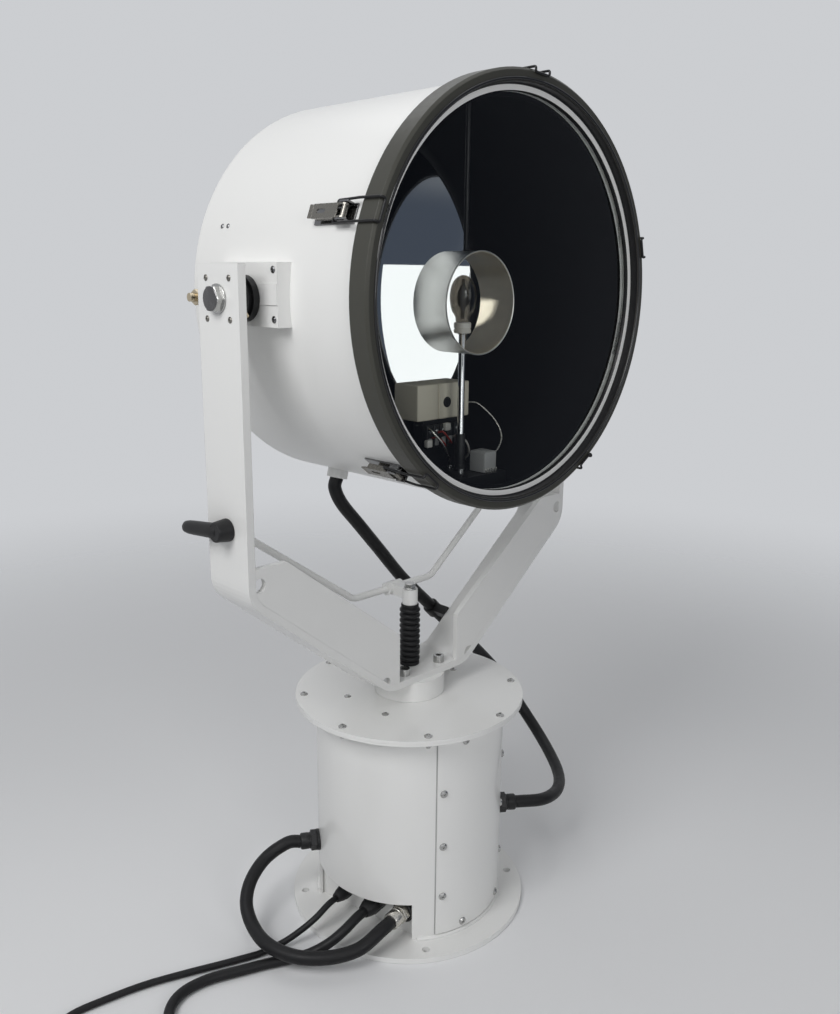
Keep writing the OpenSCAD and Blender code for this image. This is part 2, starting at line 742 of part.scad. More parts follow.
module trunnion_bearings() {
    near = block_out + face_gap;
    far = arm_in - trunnion_flange_t;
    color(black) both_sides() trunnion_frame() difference() {
        rotate_extrude() polygon([[trunnion_d/2 + run_gap, near], [collar_r, near],
            [collar_r, near + collar_t], [neck_r, near + collar_t], [neck_r, far], [trunnion_flange_r, far],
            [trunnion_flange_r, arm_in], [trunnion_d/2 + run_gap, arm_in]]);
        for (y = [-1, 1], z = [-1, 1])
            translate([-z*bearing_square, y*bearing_square, far - 1]) cylinder(r = 2, h = 20, $fn = 24);
    }
}
module bearing_screws() {
    color(steel) both_sides() trunnion_frame() for (y = [-1, 1], z = [-1, 1])
        translate([z*bearing_square, y*bearing_square, arm_out])
            button_screw(2, 3.6, 1.4, bar_t + trunnion_flange_t - 1);
}
gaiter_pleats = 9;
module gaiter() {
    low = foot_top;
    high = clamp_z;
    step = (high - low)/gaiter_pleats;
    outer = [for (i = [0:gaiter_pleats - 1], k = [[gaiter_r - 2.5, 0], [gaiter_r, 0.35], [gaiter_r, 0.65]])
        [k[0], low + (i + k[1])*step]];
    color(black) rotate_extrude($fn = 48)
        polygon(concat([[push_d/2 + 1.5, low]], outer, [[gaiter_r - 2.5, high], [push_d/2 + 1.5, high]]));
}
module conduit_clip() {
    color(black) translate(clip_end(0)) rotate([0, clip_turn, 0]) difference() {
        translate([0, 0, -clip_half]) union() {
            cylinder(r = conduit_d/2 + 3, h = 2*clip_half, $fn = 48);
            translate([-7, -clip_stand, 0]) cube([14, clip_stand, 2*clip_half]);
        }
        translate([0, 0, -2*clip_half]) cylinder(d = conduit_d, h = 4*clip_half, $fn = 48);
    }
}
module conduit_lower() {
    color(black) swept(smooth(lower_route), conduit_d/2, [0, 1, 0]);
}
module conduit_upper() {
    color(black) swept(smooth(upper_route), conduit_d/2, [0, 1, 0]);
}
// A hub on the outside of the arm with a tapered handle that points back
module lock_lever() {
    handle = 66;
    color(black) translate([-arm_out, lever_y, lever_z]) {
        rotate([0, -90, 0]) {
            translate([0, 0, face_gap]) cylinder(r1 = 14, r2 = 12, h = 20);
            translate([0, 0, -bar_t]) cylinder(r = lever_stud_r, h = bar_t + 1);
        }
        translate([-12, 0, 0]) rotate([-94, 0, 7]) {
            cylinder(r1 = 10, r2 = 6.5, h = handle);
            translate([0, 0, handle]) sphere(r = 6.5);
        }
    }
}

// Tilt linkage
module push_rod() {
    low = actuator_top - 70;
    color(steel) translate([0, 0, low]) cylinder(d = push_d, h = clamp_z + clamp_h - low);
}
module rod_clamp() {
    color(white) {
        difference() {
            union() {
                translate([0, 0, clamp_z]) cylinder(r = clamp_r, h = clamp_h);
                translate([-8, 0, rod_h - 8]) cube([16, rod_back, 16]);
                translate([-14, rod_back, rod_h]) rotate([0, 90, 0]) cylinder(d = rod_d + 9, h = 28);
            }
            translate([0, 0, clamp_z - 1]) cylinder(d = push_d, h = clamp_h + 2);
            translate([-20, rod_back, rod_h]) rotate([0, 90, 0]) cylinder(d = rod_d, h = 40);
        }
    }
    color(steel) translate([0, 0, clamp_z + clamp_h]) {
        cylinder(r = 9.5, h = 2);
        translate([0, 0, 2]) cylinder(r = 8, h = 7, $fn = 6);
    }
}
module tilt_rod() {
    half = [[rod_half, rod_back, rod_h], [rod_x, leg_y, leg_z],
        [rod_x, crank_arm - slot_len/2, axis_h - eye_r + 2]];
    line = concat([for (p = reversed(half)) [-p[0], p[1], p[2]]], half);
    color(white) difference() {
        union() {
            swept(bent(line, 2.5*rod_d), rod_d/2, [0, 1, 0], 16);
            both_sides() trunnion_frame(crank_arm) translate([0, 0, rod_x - eye_t/2]) {
                cylinder(r = eye_r, h = eye_t);
                translate([0, -slot_len, 0]) cylinder(r = eye_r, h = eye_t);
                translate([-eye_r, -slot_len, 0]) cube([2*eye_r, slot_len, eye_t]);
            }
        }
        both_sides() trunnion_frame(crank_arm) translate([0, 0, rod_x - rod_d]) {
            cylinder(r = stud_d/2 + bolt_gap, h = 2*rod_d);
            translate([0, -slot_len, 0]) cylinder(r = stud_d/2 + bolt_gap, h = 2*rod_d);
            translate([-stud_d/2 - bolt_gap, -slot_len, 0])
                cube([stud_d + 2*bolt_gap, slot_len, 2*rod_d]);
        }
    }
}

// Lamp house
module turned(points) {
    house_frame() rotate_extrude($fn = 128) polygon(points);
}
// Local Z points out of the barrel at angle a, u forward of the tilt axis
module on_barrel(a, u) {
    house_frame() rotate([0, 0, a]) translate([barrel_r, 0, u]) rotate([0, 90, 0]) children();
}
rivet_r = 1.6;
module rivet_places() {
    for (u = [-79, -91]) on_barrel(160.5, u) children();
}
// The place of the conduit boss
module boss_frame() {
    on_barrel(gland_angle, gland_u) children();
}
module lamp_barrel() {
    color(white) difference() {
        union() {
            turned([[barrel_in, -barrel_rear + seat_t], [barrel_r - seat_w, -barrel_rear + seat_t],
                [barrel_r - seat_w, -barrel_rear], [barrel_r, -barrel_rear], [barrel_r, barrel_front],
                [barrel_r - seat_w, barrel_front], [barrel_r - seat_w, barrel_front - seat_t],
                [barrel_in, barrel_front - seat_t]]);
            boss_frame() translate([0, 0, -1.5]) cylinder(r = conduit_d/2 + 5, h = boss_h + 1.5, $fn = 48);
        }
        boss_frame() translate([0, 0, -8]) cylinder(r = conduit_d/2 - 3, h = boss_h + 9);
        rear_screw_places() translate([0, 0, -1]) cylinder(r = screw_r, h = seat_t + 2);
        rivet_places() translate([0, 0, -5]) cylinder(r = rivet_r, h = 10, $fn = 24);
    }
}
module rear_screw_places() {
    house_frame() for (i = [0:7]) rotate([0, 0, 22.5 + 45*i])
        translate([barrel_r - seat_w/2, 0, -barrel_rear]) children();
}
dish_steps = 10;
module rear_cover() {
    rim = barrel_r - seat_w + 2;
    flange = 2.5;
    dish = [for (i = [0:dish_steps]) let (r = rim*(1 - i/dish_steps))
        [r, -barrel_rear - flange - (cover_depth - flange)*(1 - pow(r/rim, 2.4))]];
    inside = [for (p = reversed(dish)) [max(p[0] - 2.5, 0), p[1] + 2.5]];
    color(white) difference() {
        turned(concat([[barrel_r, -barrel_rear], [barrel_r, -barrel_rear - flange]], dish,
            [for (p = inside) if (p[0] > 0 || p[1] > -barrel_rear - cover_depth)
                [p[0], min(p[1], -barrel_rear)]]));
        rear_screw_places() translate([0, 0, -20]) cylinder(r = screw_r + bolt_gap, h = 40);
    }
}
block_screw_places = [[-50, 32], [-50, -22], [46, 32], [46, -22]];
module drum_screws() {
    color(steel) {
        rear_screw_places() translate([0, 0, -2.5]) mirror([0, 0, 1])
            button_screw(screw_r, screw_head_r, screw_head_h, seat_t + 2.5);
        both_sides() trunnion_frame() for (p = block_screw_places)
            translate([-p[1], p[0], block_out - pad_step]) button_screw(2.5, 4, 1.5, 12);
        rivet_places() button_screw(rivet_r, 3, 1.2, barrel_wall);
    }
}
module trunnion_blocks() {
    length = block_front + block_rear;
    face = block_out - pad_step;
    color(white) both_sides() difference() {
        translate([barrel_r - 10, -block_front, axis_h - block_down])
            cube([block_out - barrel_r + 10, length, block_down + block_up]);
        house_frame() translate([0, 0, -200]) cylinder(r = barrel_r, h = 400, $fn = 128);
        for (z = [pad_up, -pad_down - 60])
            translate([face, -block_front - 1, axis_h + z]) cube([10, length + 2, 60]);
        trunnion_frame() translate([0, 0, barrel_r + stud_root - 2]) cylinder(d = trunnion_d, h = 60);
        trunnion_frame(crank_arm) translate([0, 0, barrel_r + stud_root - 2]) cylinder(d = stud_d, h = 60);
        trunnion_frame() for (p = block_screw_places)
            translate([-p[1], p[0], face - 12]) cylinder(r = 2.5, h = 20, $fn = 24);
    }
}
stud_root = 4;
thin_washer = 1.6;
stud_end = rod_x + eye_t/2 + 17;
module crank_studs() {
    color("#b59a5b") both_sides() trunnion_frame(crank_arm) {
        translate([0, 0, barrel_r + stud_root]) cylinder(d = stud_d, h = stud_end - barrel_r - stud_root);
        translate([0, 0, rod_x + eye_t/2 + face_gap]) cylinder(r = stud_d/2 + 2.8, h = thin_washer);
        translate([0, 0, rod_x + eye_t/2 + face_gap + thin_washer]) cylinder(r = 9.2, h = 8, $fn = 6);
    }
}
module trunnion_bolts() {
    washer = 2;
    color(steel) both_sides() trunnion_frame() {
        translate([0, 0, barrel_r + stud_root])
            cylinder(d = trunnion_d, h = arm_out + face_gap - barrel_r - stud_root);
        translate([0, 0, arm_out + face_gap]) cylinder(r = trunnion_af/2 + 3, h = washer);
        translate([0, 0, arm_out + face_gap + washer]) rotate([0, 0, 30]) intersection() {
            cylinder(r = trunnion_af/2/cos(30), h = 12, $fn = 6);
            cylinder(r1 = trunnion_af/2 + 14, r2 = trunnion_af/2 - 1, h = 16);
        }
    }
}
module reflector() {
    steps = 14;
    front = [for (i = [0:steps]) let (r = mirror_r*i/steps)
        [r, r*r/(4*focal) - mirror_depth - mirror_back]];
    back = [for (i = [steps:-1:0]) let (r = mirror_r*i/steps) [r, front[i][1] - mirror_t]];
    rim = [[barrel_in, -mirror_back], [barrel_in, -mirror_back - mirror_t]];
    color("lightsteelblue") turned(concat(front, rim, back));
}
// The ring hangs on the lamp post below and on a strut to the barrel above
module spill_ring() {
    color(steel) {
        translate([0, 0, -spill_drop]) difference() {
            turned([[spill_r - spill_wall, spill_front - spill_len], [spill_r, spill_front - spill_len],
                [spill_r, spill_front], [spill_r - spill_wall, spill_front]]);
            translate([0, -lamp_u, axis_h - spill_r - 5]) cylinder(r = post_r, h = 20);
        }
        intersection() {
            translate([0, spill_len/2 - spill_front, axis_h - spill_drop + spill_r - spill_wall])
                cylinder(r = strut_r, h = barrel_r);
            house_frame() cylinder(r = barrel_in - face_gap, h = barrel_front);
        }
    }
}
lamp_low = 30;
socket_h = 14;
socket_r = 11;
module lamp_post() {
    color(steel) translate([0, -lamp_u, axis_h]) {
        translate([0, 0, -rail_top]) cylinder(r = post_r, h = rail_top - lamp_low - socket_h + 1);
        translate([0, 0, -lamp_low - socket_h]) cylinder(r = socket_r, h = socket_h);
    }
}
module lamp() {
    color("white") translate([0, -lamp_u, axis_h]) rotate_extrude($fn = 48)
        polygon([[0, -lamp_low], [lamp_r*0.5, -lamp_low], [lamp_r*0.55, -lamp_low + 6],
            [lamp_r*0.8, -17], [lamp_r*0.96, -7], [lamp_r, 2], [lamp_r*0.94, 11], [lamp_r*0.74, 20],
            [lamp_r*0.4, 26], [0, 28]]);
}
module ignitor_box() {
    color("#d9d3bf") translate([-box_half_w, -box_front, axis_h - box_low])
        cube([2*box_half_w, box_depth, box_low - box_high]);
}
// A rail on the floor of the barrel, with terminal blocks that carry the box and a small relay
rail_half_w = 46;
module lamp_carrier() {
    floor_z = axis_h - rail_top;
    color(black) {
        intersection() {
            translate([-rail_half_w, -132, axis_h - barrel_r])
                cube([2*rail_half_w, 180, barrel_r - rail_top]);
            house_frame() translate([0, 0, -200]) cylinder(r = barrel_in, h = 400);
        }
        translate([-40, -box_front, floor_z]) cube([64, 16, rail_top - box_low]);
        translate([-40, box_depth - 14 - box_front, floor_z]) cube([80, 12, rail_top - box_low]);
        translate([8, -128, floor_z]) cube([22, 26, 27]);
    }
}
module bezel_ring() {
    skirt = bezel_front - bezel_len;
    color(olive) turned([[bezel_in, lip_back], [bezel_in, bezel_front], [bezel_r - 3, bezel_front],
        [bezel_r, bezel_front - 3], [bezel_r, skirt], [bezel_r - 5.4, skirt], [bezel_r - 5.4, lip_back]]);
}
module glass_seal() {
    low = barrel_front + 1;
    color("white") turned([[clear_r, barrel_front], [barrel_r + 2, barrel_front],
        [barrel_r + 2, lip_back], [bezel_in - 0.2, lip_back], [bezel_in - 0.2, seal_front],
        [clear_r, seal_front], [clear_r, low + glass_t], [glass_r, low + glass_t], [glass_r, low],
        [clear_r, low]]);
}
module front_glass() {
    color("azure", 0.3) house_frame() translate([0, 0, barrel_front + 1])
        cylinder(r = glass_r, h = glass_t, $fn = 128);
}

// Latches
module latch_plates() {
    color(steel) for (i = [1:latch_count]) latch_frame(i) {
        translate([0.1, -11, plate_back]) cube([1.7, 22, plate_front - plate_back]);
        for (s = [-1, 1])
            translate([1, s*(ear_in + ear_t/2) - ear_t/2, pivot_s - 7]) cube([pivot_h + 3, ear_t, 14]);
        translate([pivot_h, -ear_in - ear_t, pivot_s]) rotate([-90, 0, 0])
            cylinder(r = pin_r, h = 2*(ear_in + ear_t), $fn = 32);
    }
}
lever_tail = plate_back + 4;
lever_low = 4.6;
lever_high = 10;
lever_t = 1.5;
cheek_t = 2;
// Side view of a lever, outward and forward: the bent handle, then a cheek with its pivot boss
module handle_outline() {
    top = lever_high + lever_t;
    polygon([[lever_high, pivot_s - 8], [top, pivot_s - 8], [top, lever_tail], [top + 3, lever_tail - 9],
        [top + 1.6, lever_tail - 9.5], [lever_high, lever_tail - 0.4]]);
}
module cheek_outline() {
    translate([lever_low, lever_tail + 4]) square([lever_high + 0.8 - lever_low, pivot_s - lever_tail - 4]);
    translate([pivot_h, pivot_s]) circle(r = 4, $fn = 32);
}
module latch_lever(i) {
    color("#8b8d8f") latch_frame(i) difference() {
        union() {
            upright(-lever_half_w, 2*lever_half_w) handle_outline();
            for (side = [-1, 1])
                upright(side*(lever_half_w - 0.2 - cheek_t/2) - cheek_t/2, cheek_t) cheek_outline();
            translate([pivot_h, 1 - lever_half_w, pivot_s]) rotate([-90, 0, 0])
                cylinder(r = 3.3, h = 2*lever_half_w - 2, $fn = 32);
        }
        translate([pivot_h, -20, pivot_s]) rotate([-90, 0, 0])
            cylinder(r = pin_r + run_gap, h = 40, $fn = 32);
        translate([bail_h, -20, bail_s]) rotate([-90, 0, 0])
            cylinder(r = wire_d/2 + run_gap, h = 40, $fn = 32);
    }
}
module latch_bail(i) {
    w = bail_half_w;
    bend_s = bezel_front - bezel_len - 4;
    half = [[bail_h, 7, bail_s], [bail_h, w, bail_s], [bail_over, w, bend_s], [bail_over, w, bail_front],
        [bail_over - 6, w, bail_front]];
    line = concat(half, [for (p = reversed(half)) [p[0], -p[1], p[2]]]);
    color(black) latch_frame(i) {
        swept(bent(line, 0.8*wire_d), wire_d/2 - 0.05, [1, 0, 0], 8);
        for (s = [-1, 1]) translate([bail_h, s*7.3, bail_s]) rotate([90, 0, 0])
            cylinder(d = wire_d, h = 3.8, center = true, $fn = 32);
    }
}

base_flange();
base_column();
access_cover();
base_screws();
top_plate();
gland_plate();
cable_glands();
conduit_fittings();
loop_conduit();
pan_bearing();
pan_motor();
tilt_actuator();
supply_cable();
supply_coil();
supply_connector();
control_cable();
control_coil();
control_connector();
pan_pinion();
pan_hub();
pan_gear();
yoke_bar();
yoke_webs();
yoke_bolts();
trunnion_bearings();
bearing_screws();
gaiter();
conduit_clip();
conduit_lower();
conduit_upper();
lock_lever();
push_rod();
rod_clamp();
tilt_rod();
lamp_barrel();
rear_cover();
drum_screws();
trunnion_blocks();
crank_studs();
trunnion_bolts();
reflector();
spill_ring();
lamp_post();
lamp();
ignitor_box();
lamp_carrier();
bezel_ring();
glass_seal();
front_glass();
latch_plates();
latch_lever(1);  // latch_lever_1
latch_lever(2);  // latch_lever_2
latch_lever(3);  // latch_lever_3
latch_lever(4);  // latch_lever_4
latch_lever(5);  // latch_lever_5
latch_bail(1);  // latch_bail_1
latch_bail(2);  // latch_bail_2
latch_bail(3);  // latch_bail_3
latch_bail(4);  // latch_bail_4
latch_bail(5);  // latch_bail_5
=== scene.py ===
import json
import math

import bmesh
import bpy
from mathutils import Matrix, Vector


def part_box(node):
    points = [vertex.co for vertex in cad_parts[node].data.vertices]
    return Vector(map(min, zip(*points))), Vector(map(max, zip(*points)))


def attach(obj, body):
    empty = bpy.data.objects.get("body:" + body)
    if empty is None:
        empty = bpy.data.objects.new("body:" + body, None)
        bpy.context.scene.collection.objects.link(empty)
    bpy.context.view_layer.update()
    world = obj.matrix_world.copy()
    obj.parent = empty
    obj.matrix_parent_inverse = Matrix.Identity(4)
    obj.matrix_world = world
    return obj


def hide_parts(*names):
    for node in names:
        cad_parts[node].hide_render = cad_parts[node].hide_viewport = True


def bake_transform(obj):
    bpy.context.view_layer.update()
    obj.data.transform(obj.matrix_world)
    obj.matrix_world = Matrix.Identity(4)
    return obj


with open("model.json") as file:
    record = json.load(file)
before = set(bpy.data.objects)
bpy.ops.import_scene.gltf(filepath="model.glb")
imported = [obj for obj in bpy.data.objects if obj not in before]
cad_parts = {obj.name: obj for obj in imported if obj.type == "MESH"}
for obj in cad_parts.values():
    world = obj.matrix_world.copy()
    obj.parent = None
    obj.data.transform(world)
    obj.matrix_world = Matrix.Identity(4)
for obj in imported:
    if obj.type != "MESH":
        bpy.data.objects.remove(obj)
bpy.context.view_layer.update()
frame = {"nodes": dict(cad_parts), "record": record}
NODES = frame["nodes"]
MM = 0.001
TAU = 2 * math.pi

# Sizes and places repeated from the part's source, in millimetres and degrees
AXIS_H = 893.0
BARREL_R = 246.0
COLUMN_R = 136.5
CONDUIT_R = 9.5
LAMP_PORT = (321, 135)
LOOP_PORT = (148, 98)
PORT_OUT = 28
GLAND_TURN = 190
GLAND_OUT = 98
GLAND_H = 45.0
LOOP_ACROSS = 66
SUPPLY_ACROSS = 22
CONTROL_ACROSS = -29
BOSS_TURN = -105
BOSS_OUT = 12
BOSS_Y = 80.0
YOKE_FLAT = 77
YOKE_SLOPE = 39
ARM_FACE = 302.3
LOCK_H = 628
CLAMP_TOP = 484
ROD_X = 278.0
LAMP_U = 91.33
SPILL_UP = -6
BEZEL_FRONT = 193.0
SEAL_FRONT = 183.3
SEAL_OUT = 240.0
SEAL_IN = 231.0
GLASS_FRONT = 177.0
LATCHES = range(1, 6)
LATCH_FIRST = 15
LATCH_STEP = 72

# The camera that the photo was solved for, in degrees, millimetres of lens and metres
AZIMUTH, ELEVATION, ROLL = -45.09, 13.9, 0.57
LENS = 33.48
CAMERA_AT = (-0.8995, -0.9151, 0.9221)


def linked(name, data):
    """A new object in the scene."""
    obj = bpy.data.objects.new(name, data)
    bpy.context.collection.objects.link(obj)
    return obj


def aim_camera():
    az, el, roll = (math.radians(a) for a in (AZIMUTH, ELEVATION, ROLL))
    back = Vector((math.sin(az) * math.cos(el), -math.cos(az) * math.cos(el), math.sin(el)))
    across = Vector((0, 0, 1)).cross(back).normalized()
    up = back.cross(across)
    right = across * math.cos(roll) + up * math.sin(roll)
    top = up * math.cos(roll) - across * math.sin(roll)
    data = bpy.data.cameras.new("camera")
    data.sensor_width = 36.0
    data.lens = LENS
    data.clip_end = 60
    camera = linked("camera", data)
    matrix = Matrix((right, top, back)).transposed().to_4x4()
    matrix.translation = CAMERA_AT
    camera.matrix_world = matrix
    bpy.context.scene.camera = camera


aim_camera()
bpy.context.scene.view_settings.view_transform = "Standard"


# Mesh helpers

def new_object(name, verts, faces):
    mesh = bpy.data.meshes.new(name)
    mesh.from_pydata([Vector(v) for v in verts], [], faces)
    mesh.update()
    return linked(name, mesh)


def from_bmesh(name, bm):
    mesh = bpy.data.meshes.new(name)
    bm.to_mesh(mesh)
    bm.free()
    return linked(name, mesh)


def sharpen(obj, angle=35.0):
    """Outward normals, and smooth shading with sharp edges above an angle."""
    bm = bmesh.new()
    bm.from_mesh(obj.data)
    bmesh.ops.recalc_face_normals(bm, faces=bm.faces)
    limit = math.radians(angle)
    for edge in bm.edges:
        edge.smooth = not (len(edge.link_faces) == 2 and edge.calc_face_angle(0) > limit)
    for face in bm.faces:
        face.smooth = True
    bm.to_mesh(obj.data)
    bm.free()
    return obj


def polar(r, a):
    return (r * math.cos(math.radians(a)), r * math.sin(math.radians(a)))


def smooth(t):
    return t * t * (3 - 2 * t)


def curve_points(points, steps):
    """Points on the smooth curve that the part's source sweeps its routes along."""
    pts = [Vector(p) for p in points]
    last = len(pts) - 1
    out = []
    for i in range(last):
        a, b, c, d = pts[max(i - 1, 0)], pts[i], pts[i + 1], pts[min(i + 2, last)]
        for k in range(steps):
            t = k / steps
            out.append(0.5 * (2 * b + (c - a) * t + (2 * a - 5 * b + 4 * c - d) * t * t
                              + (3 * b - a - 3 * c + d) * t ** 3))
    out.append(pts[last])
    return out


def bent_points(points, radius, steps=8):
    """The line with each corner bent to a radius."""
    pts = [Vector(p) for p in points]
    out = [pts[0]]
    for i in range(1, len(pts) - 1):
        u, v = (pts[i] - pts[i - 1]).normalized(), (pts[i + 1] - pts[i]).normalized()
        turn = u.angle(v)
        if turn < 1e-4:
            out.append(pts[i])
            continue
        n = (v - u * u.dot(v)).normalized()
        centre = pts[i] - u * radius * math.tan(turn / 2) + n * radius
        for k in range(steps + 1):
            a = turn * k / steps
            out.append(centre + radius * (math.sin(a) * u - math.cos(a) * n))
    out.append(pts[-1])
    return out


def tube(name, path_mm, radius_mm, sides=20, matrix=Matrix(), ripple=None):
    """A round tube along a path in millimetres. ripple(run) scales the radius along it."""
    pts = [matrix @ (Vector(p) * MM) for p in path_mm]
    n = len(pts)
    heads = [(pts[min(i + 1, n - 1)] - pts[max(i - 1, 0)]).normalized() for i in range(n)]
    side = Vector((0, 0, 1)) if abs(heads[0].z) < 0.9 else Vector((1, 0, 0))
    verts, faces, run = [], [], 0.0
    for i in range(n):
        if i:
            run += (pts[i] - pts[i - 1]).length
        side = (side - heads[i] * side.dot(heads[i])).normalized()
        other = heads[i].cross(side)
        r = radius_mm * MM * (ripple(run) if ripple else 1.0)
        verts += [pts[i] + r * (math.cos(TAU * j / sides) * side + math.sin(TAU * j / sides) * other)
                  for j in range(sides)]
    for i in range(n - 1):
        for j in range(sides):
            a, b = i * sides + j, i * sides + (j + 1) % sides
            faces.append((a, b, b + sides, a + sides))
    faces.append(tuple(range(sides - 1, -1, -1)))
    faces.append(tuple(range((n - 1) * sides, n * sides)))
    return sharpen(new_object(name, verts, faces), 60)


def lathe(name, profile_mm, matrix=Matrix(), segments=64, angle=35.0, closed=False):
    """Turns (radius, height) points in millimetres about local Z, with capped ends or a closed profile."""
    profile = list(profile_mm) + ([profile_mm[0]] if closed else [])
    turns = [TAU * j / segments for j in range(segments)]
    verts, faces, rings = [], [], []
    for k, (r, z) in enumerate(profile):
        if closed and k == len(profile) - 1:
            rings.append(rings[0])
        elif r < 1e-6:
            rings.append([len(verts)])
            verts.append(matrix @ Vector((0, 0, z * MM)))
        else:
            rings.append(list(range(len(verts), len(verts) + segments)))
            verts += [matrix @ (Vector((r * math.cos(a), r * math.sin(a), z)) * MM) for a in turns]
    for low, high in zip(rings, rings[1:]):
        for j in range(segments):
            k = (j + 1) % segments
            if len(low) == 1 and len(high) == 1:
                break
            if len(low) == 1:
                faces.append((low[0], high[k], high[j]))
            elif len(high) == 1:
                faces.append((low[j], low[k], high[0]))
            else:
                faces.append((low[j], low[k], high[k], high[j]))
    if not closed:
        faces += [tuple(ring) for ring in (rings[0], rings[-1]) if len(ring) > 1]
    return sharpen(new_object(name, verts, faces), angle)


def rounded_box(name, low, high, bevel, matrix=Matrix(), segments=3):
    """A box in millimetres with rounded edges."""
    bm = bmesh.new()
    bmesh.ops.create_cube(bm, size=1)
    for v in bm.verts:
        v.co = Vector([(a + b) / 2 + c * (b - a) for a, b, c in zip(low, high, v.co)]) * MM
    bmesh.ops.bevel(bm, geom=bm.edges[:], offset=bevel * MM, segments=segments, affect="EDGES", profile=0.5)
    bm.transform(matrix)
    return sharpen(from_bmesh(name, bm), 40)


def prism(name, outline, low, high, matrix=Matrix()):
    """An outline in millimetres drawn up along local Z."""
    n = len(outline)
    verts = [matrix @ (Vector((x, y, z)) * MM) for z in (low, high) for x, y in outline]
    faces = [tuple(range(n)), tuple(range(n, 2 * n))]
    faces += [(j, (j + 1) % n, n + (j + 1) % n, n + j) for j in range(n)]
    return sharpen(new_object(name, verts, faces), 30)


def ring_plate(name, outer, inner, low, high, matrix=Matrix()):
    """A plate with a hole: two outlines with the same number of points, drawn up along local Z."""
    n = len(outer)
    verts = [matrix @ (Vector((x, y, z)) * MM)
             for z in (low, high) for line in (outer, inner) for x, y in line]
    faces = []
    for j in range(n):
        k = (j + 1) % n
        faces += [(j, k, n + k, n + j), (2 * n + j, 2 * n + k, 3 * n + k, 3 * n + j),
                  (j, k, 2 * n + k, 2 * n + j), (n + j, n + k, 3 * n + k, 3 * n + j)]
    return sharpen(new_object(name, verts, faces), 30)


def rounded_outline(x0, x1, y0, y1, r, steps=6):
    """A rectangle with rounded corners, anticlockwise."""
    left, right, low, high = x0 + r, x1 - r, y0 + r, y1 - r
    out = []
    for cx, cy, start in ((right, high, 0), (left, high, 90), (left, low, 180), (right, low, 270)):
        for k in range(steps + 1):
            x, y = polar(r, start + 90 * k / steps)
            out.append((cx + x, cy + y))
    return out


def join(name, objs):
    """Joins meshes that carry their own materials into one piece."""
    target = objs[0]
    with bpy.context.temp_override(active_object=target, object=target, selected_objects=objs,
                                   selected_editable_objects=objs):
        bpy.ops.object.join()
    target.name = name
    target.data.name = name
    return target


def at(x, y, z, direction=(0, 0, 1)):
    """A frame in metres at a point in millimetres, with local Z along direction."""
    turn = Vector(direction).normalized().to_track_quat("Z", "Y")
    return Matrix.Translation(Vector((x, y, z)) * MM) @ turn.to_matrix().to_4x4()


def house(up=0.0):
    """Local Z along the beam and local Y up, at a height above the tilt axis."""
    return Matrix.Translation(Vector((0, 0, AXIS_H + up)) * MM) @ Matrix.Rotation(math.radians(90), 4, "X")


# Local X, Y and Z along Y, Z and X, and along X, Z and -Y
TURNED = Matrix(((0, 0, 1, 0), (1, 0, 0, 0), (0, 1, 0, 0), (0, 0, 0, 1)))
SIDEWAYS = Matrix(((1, 0, 0, 0), (0, 0, -1, 0), (0, 1, 0, 0), (0, 0, 0, 1)))


# Materials

def add_nodes(tree, *kinds):
    return [tree.nodes.new("ShaderNode" + kind) for kind in kinds]


def connect(tree, *pairs):
    for a, b in pairs:
        tree.links.new(a, b)


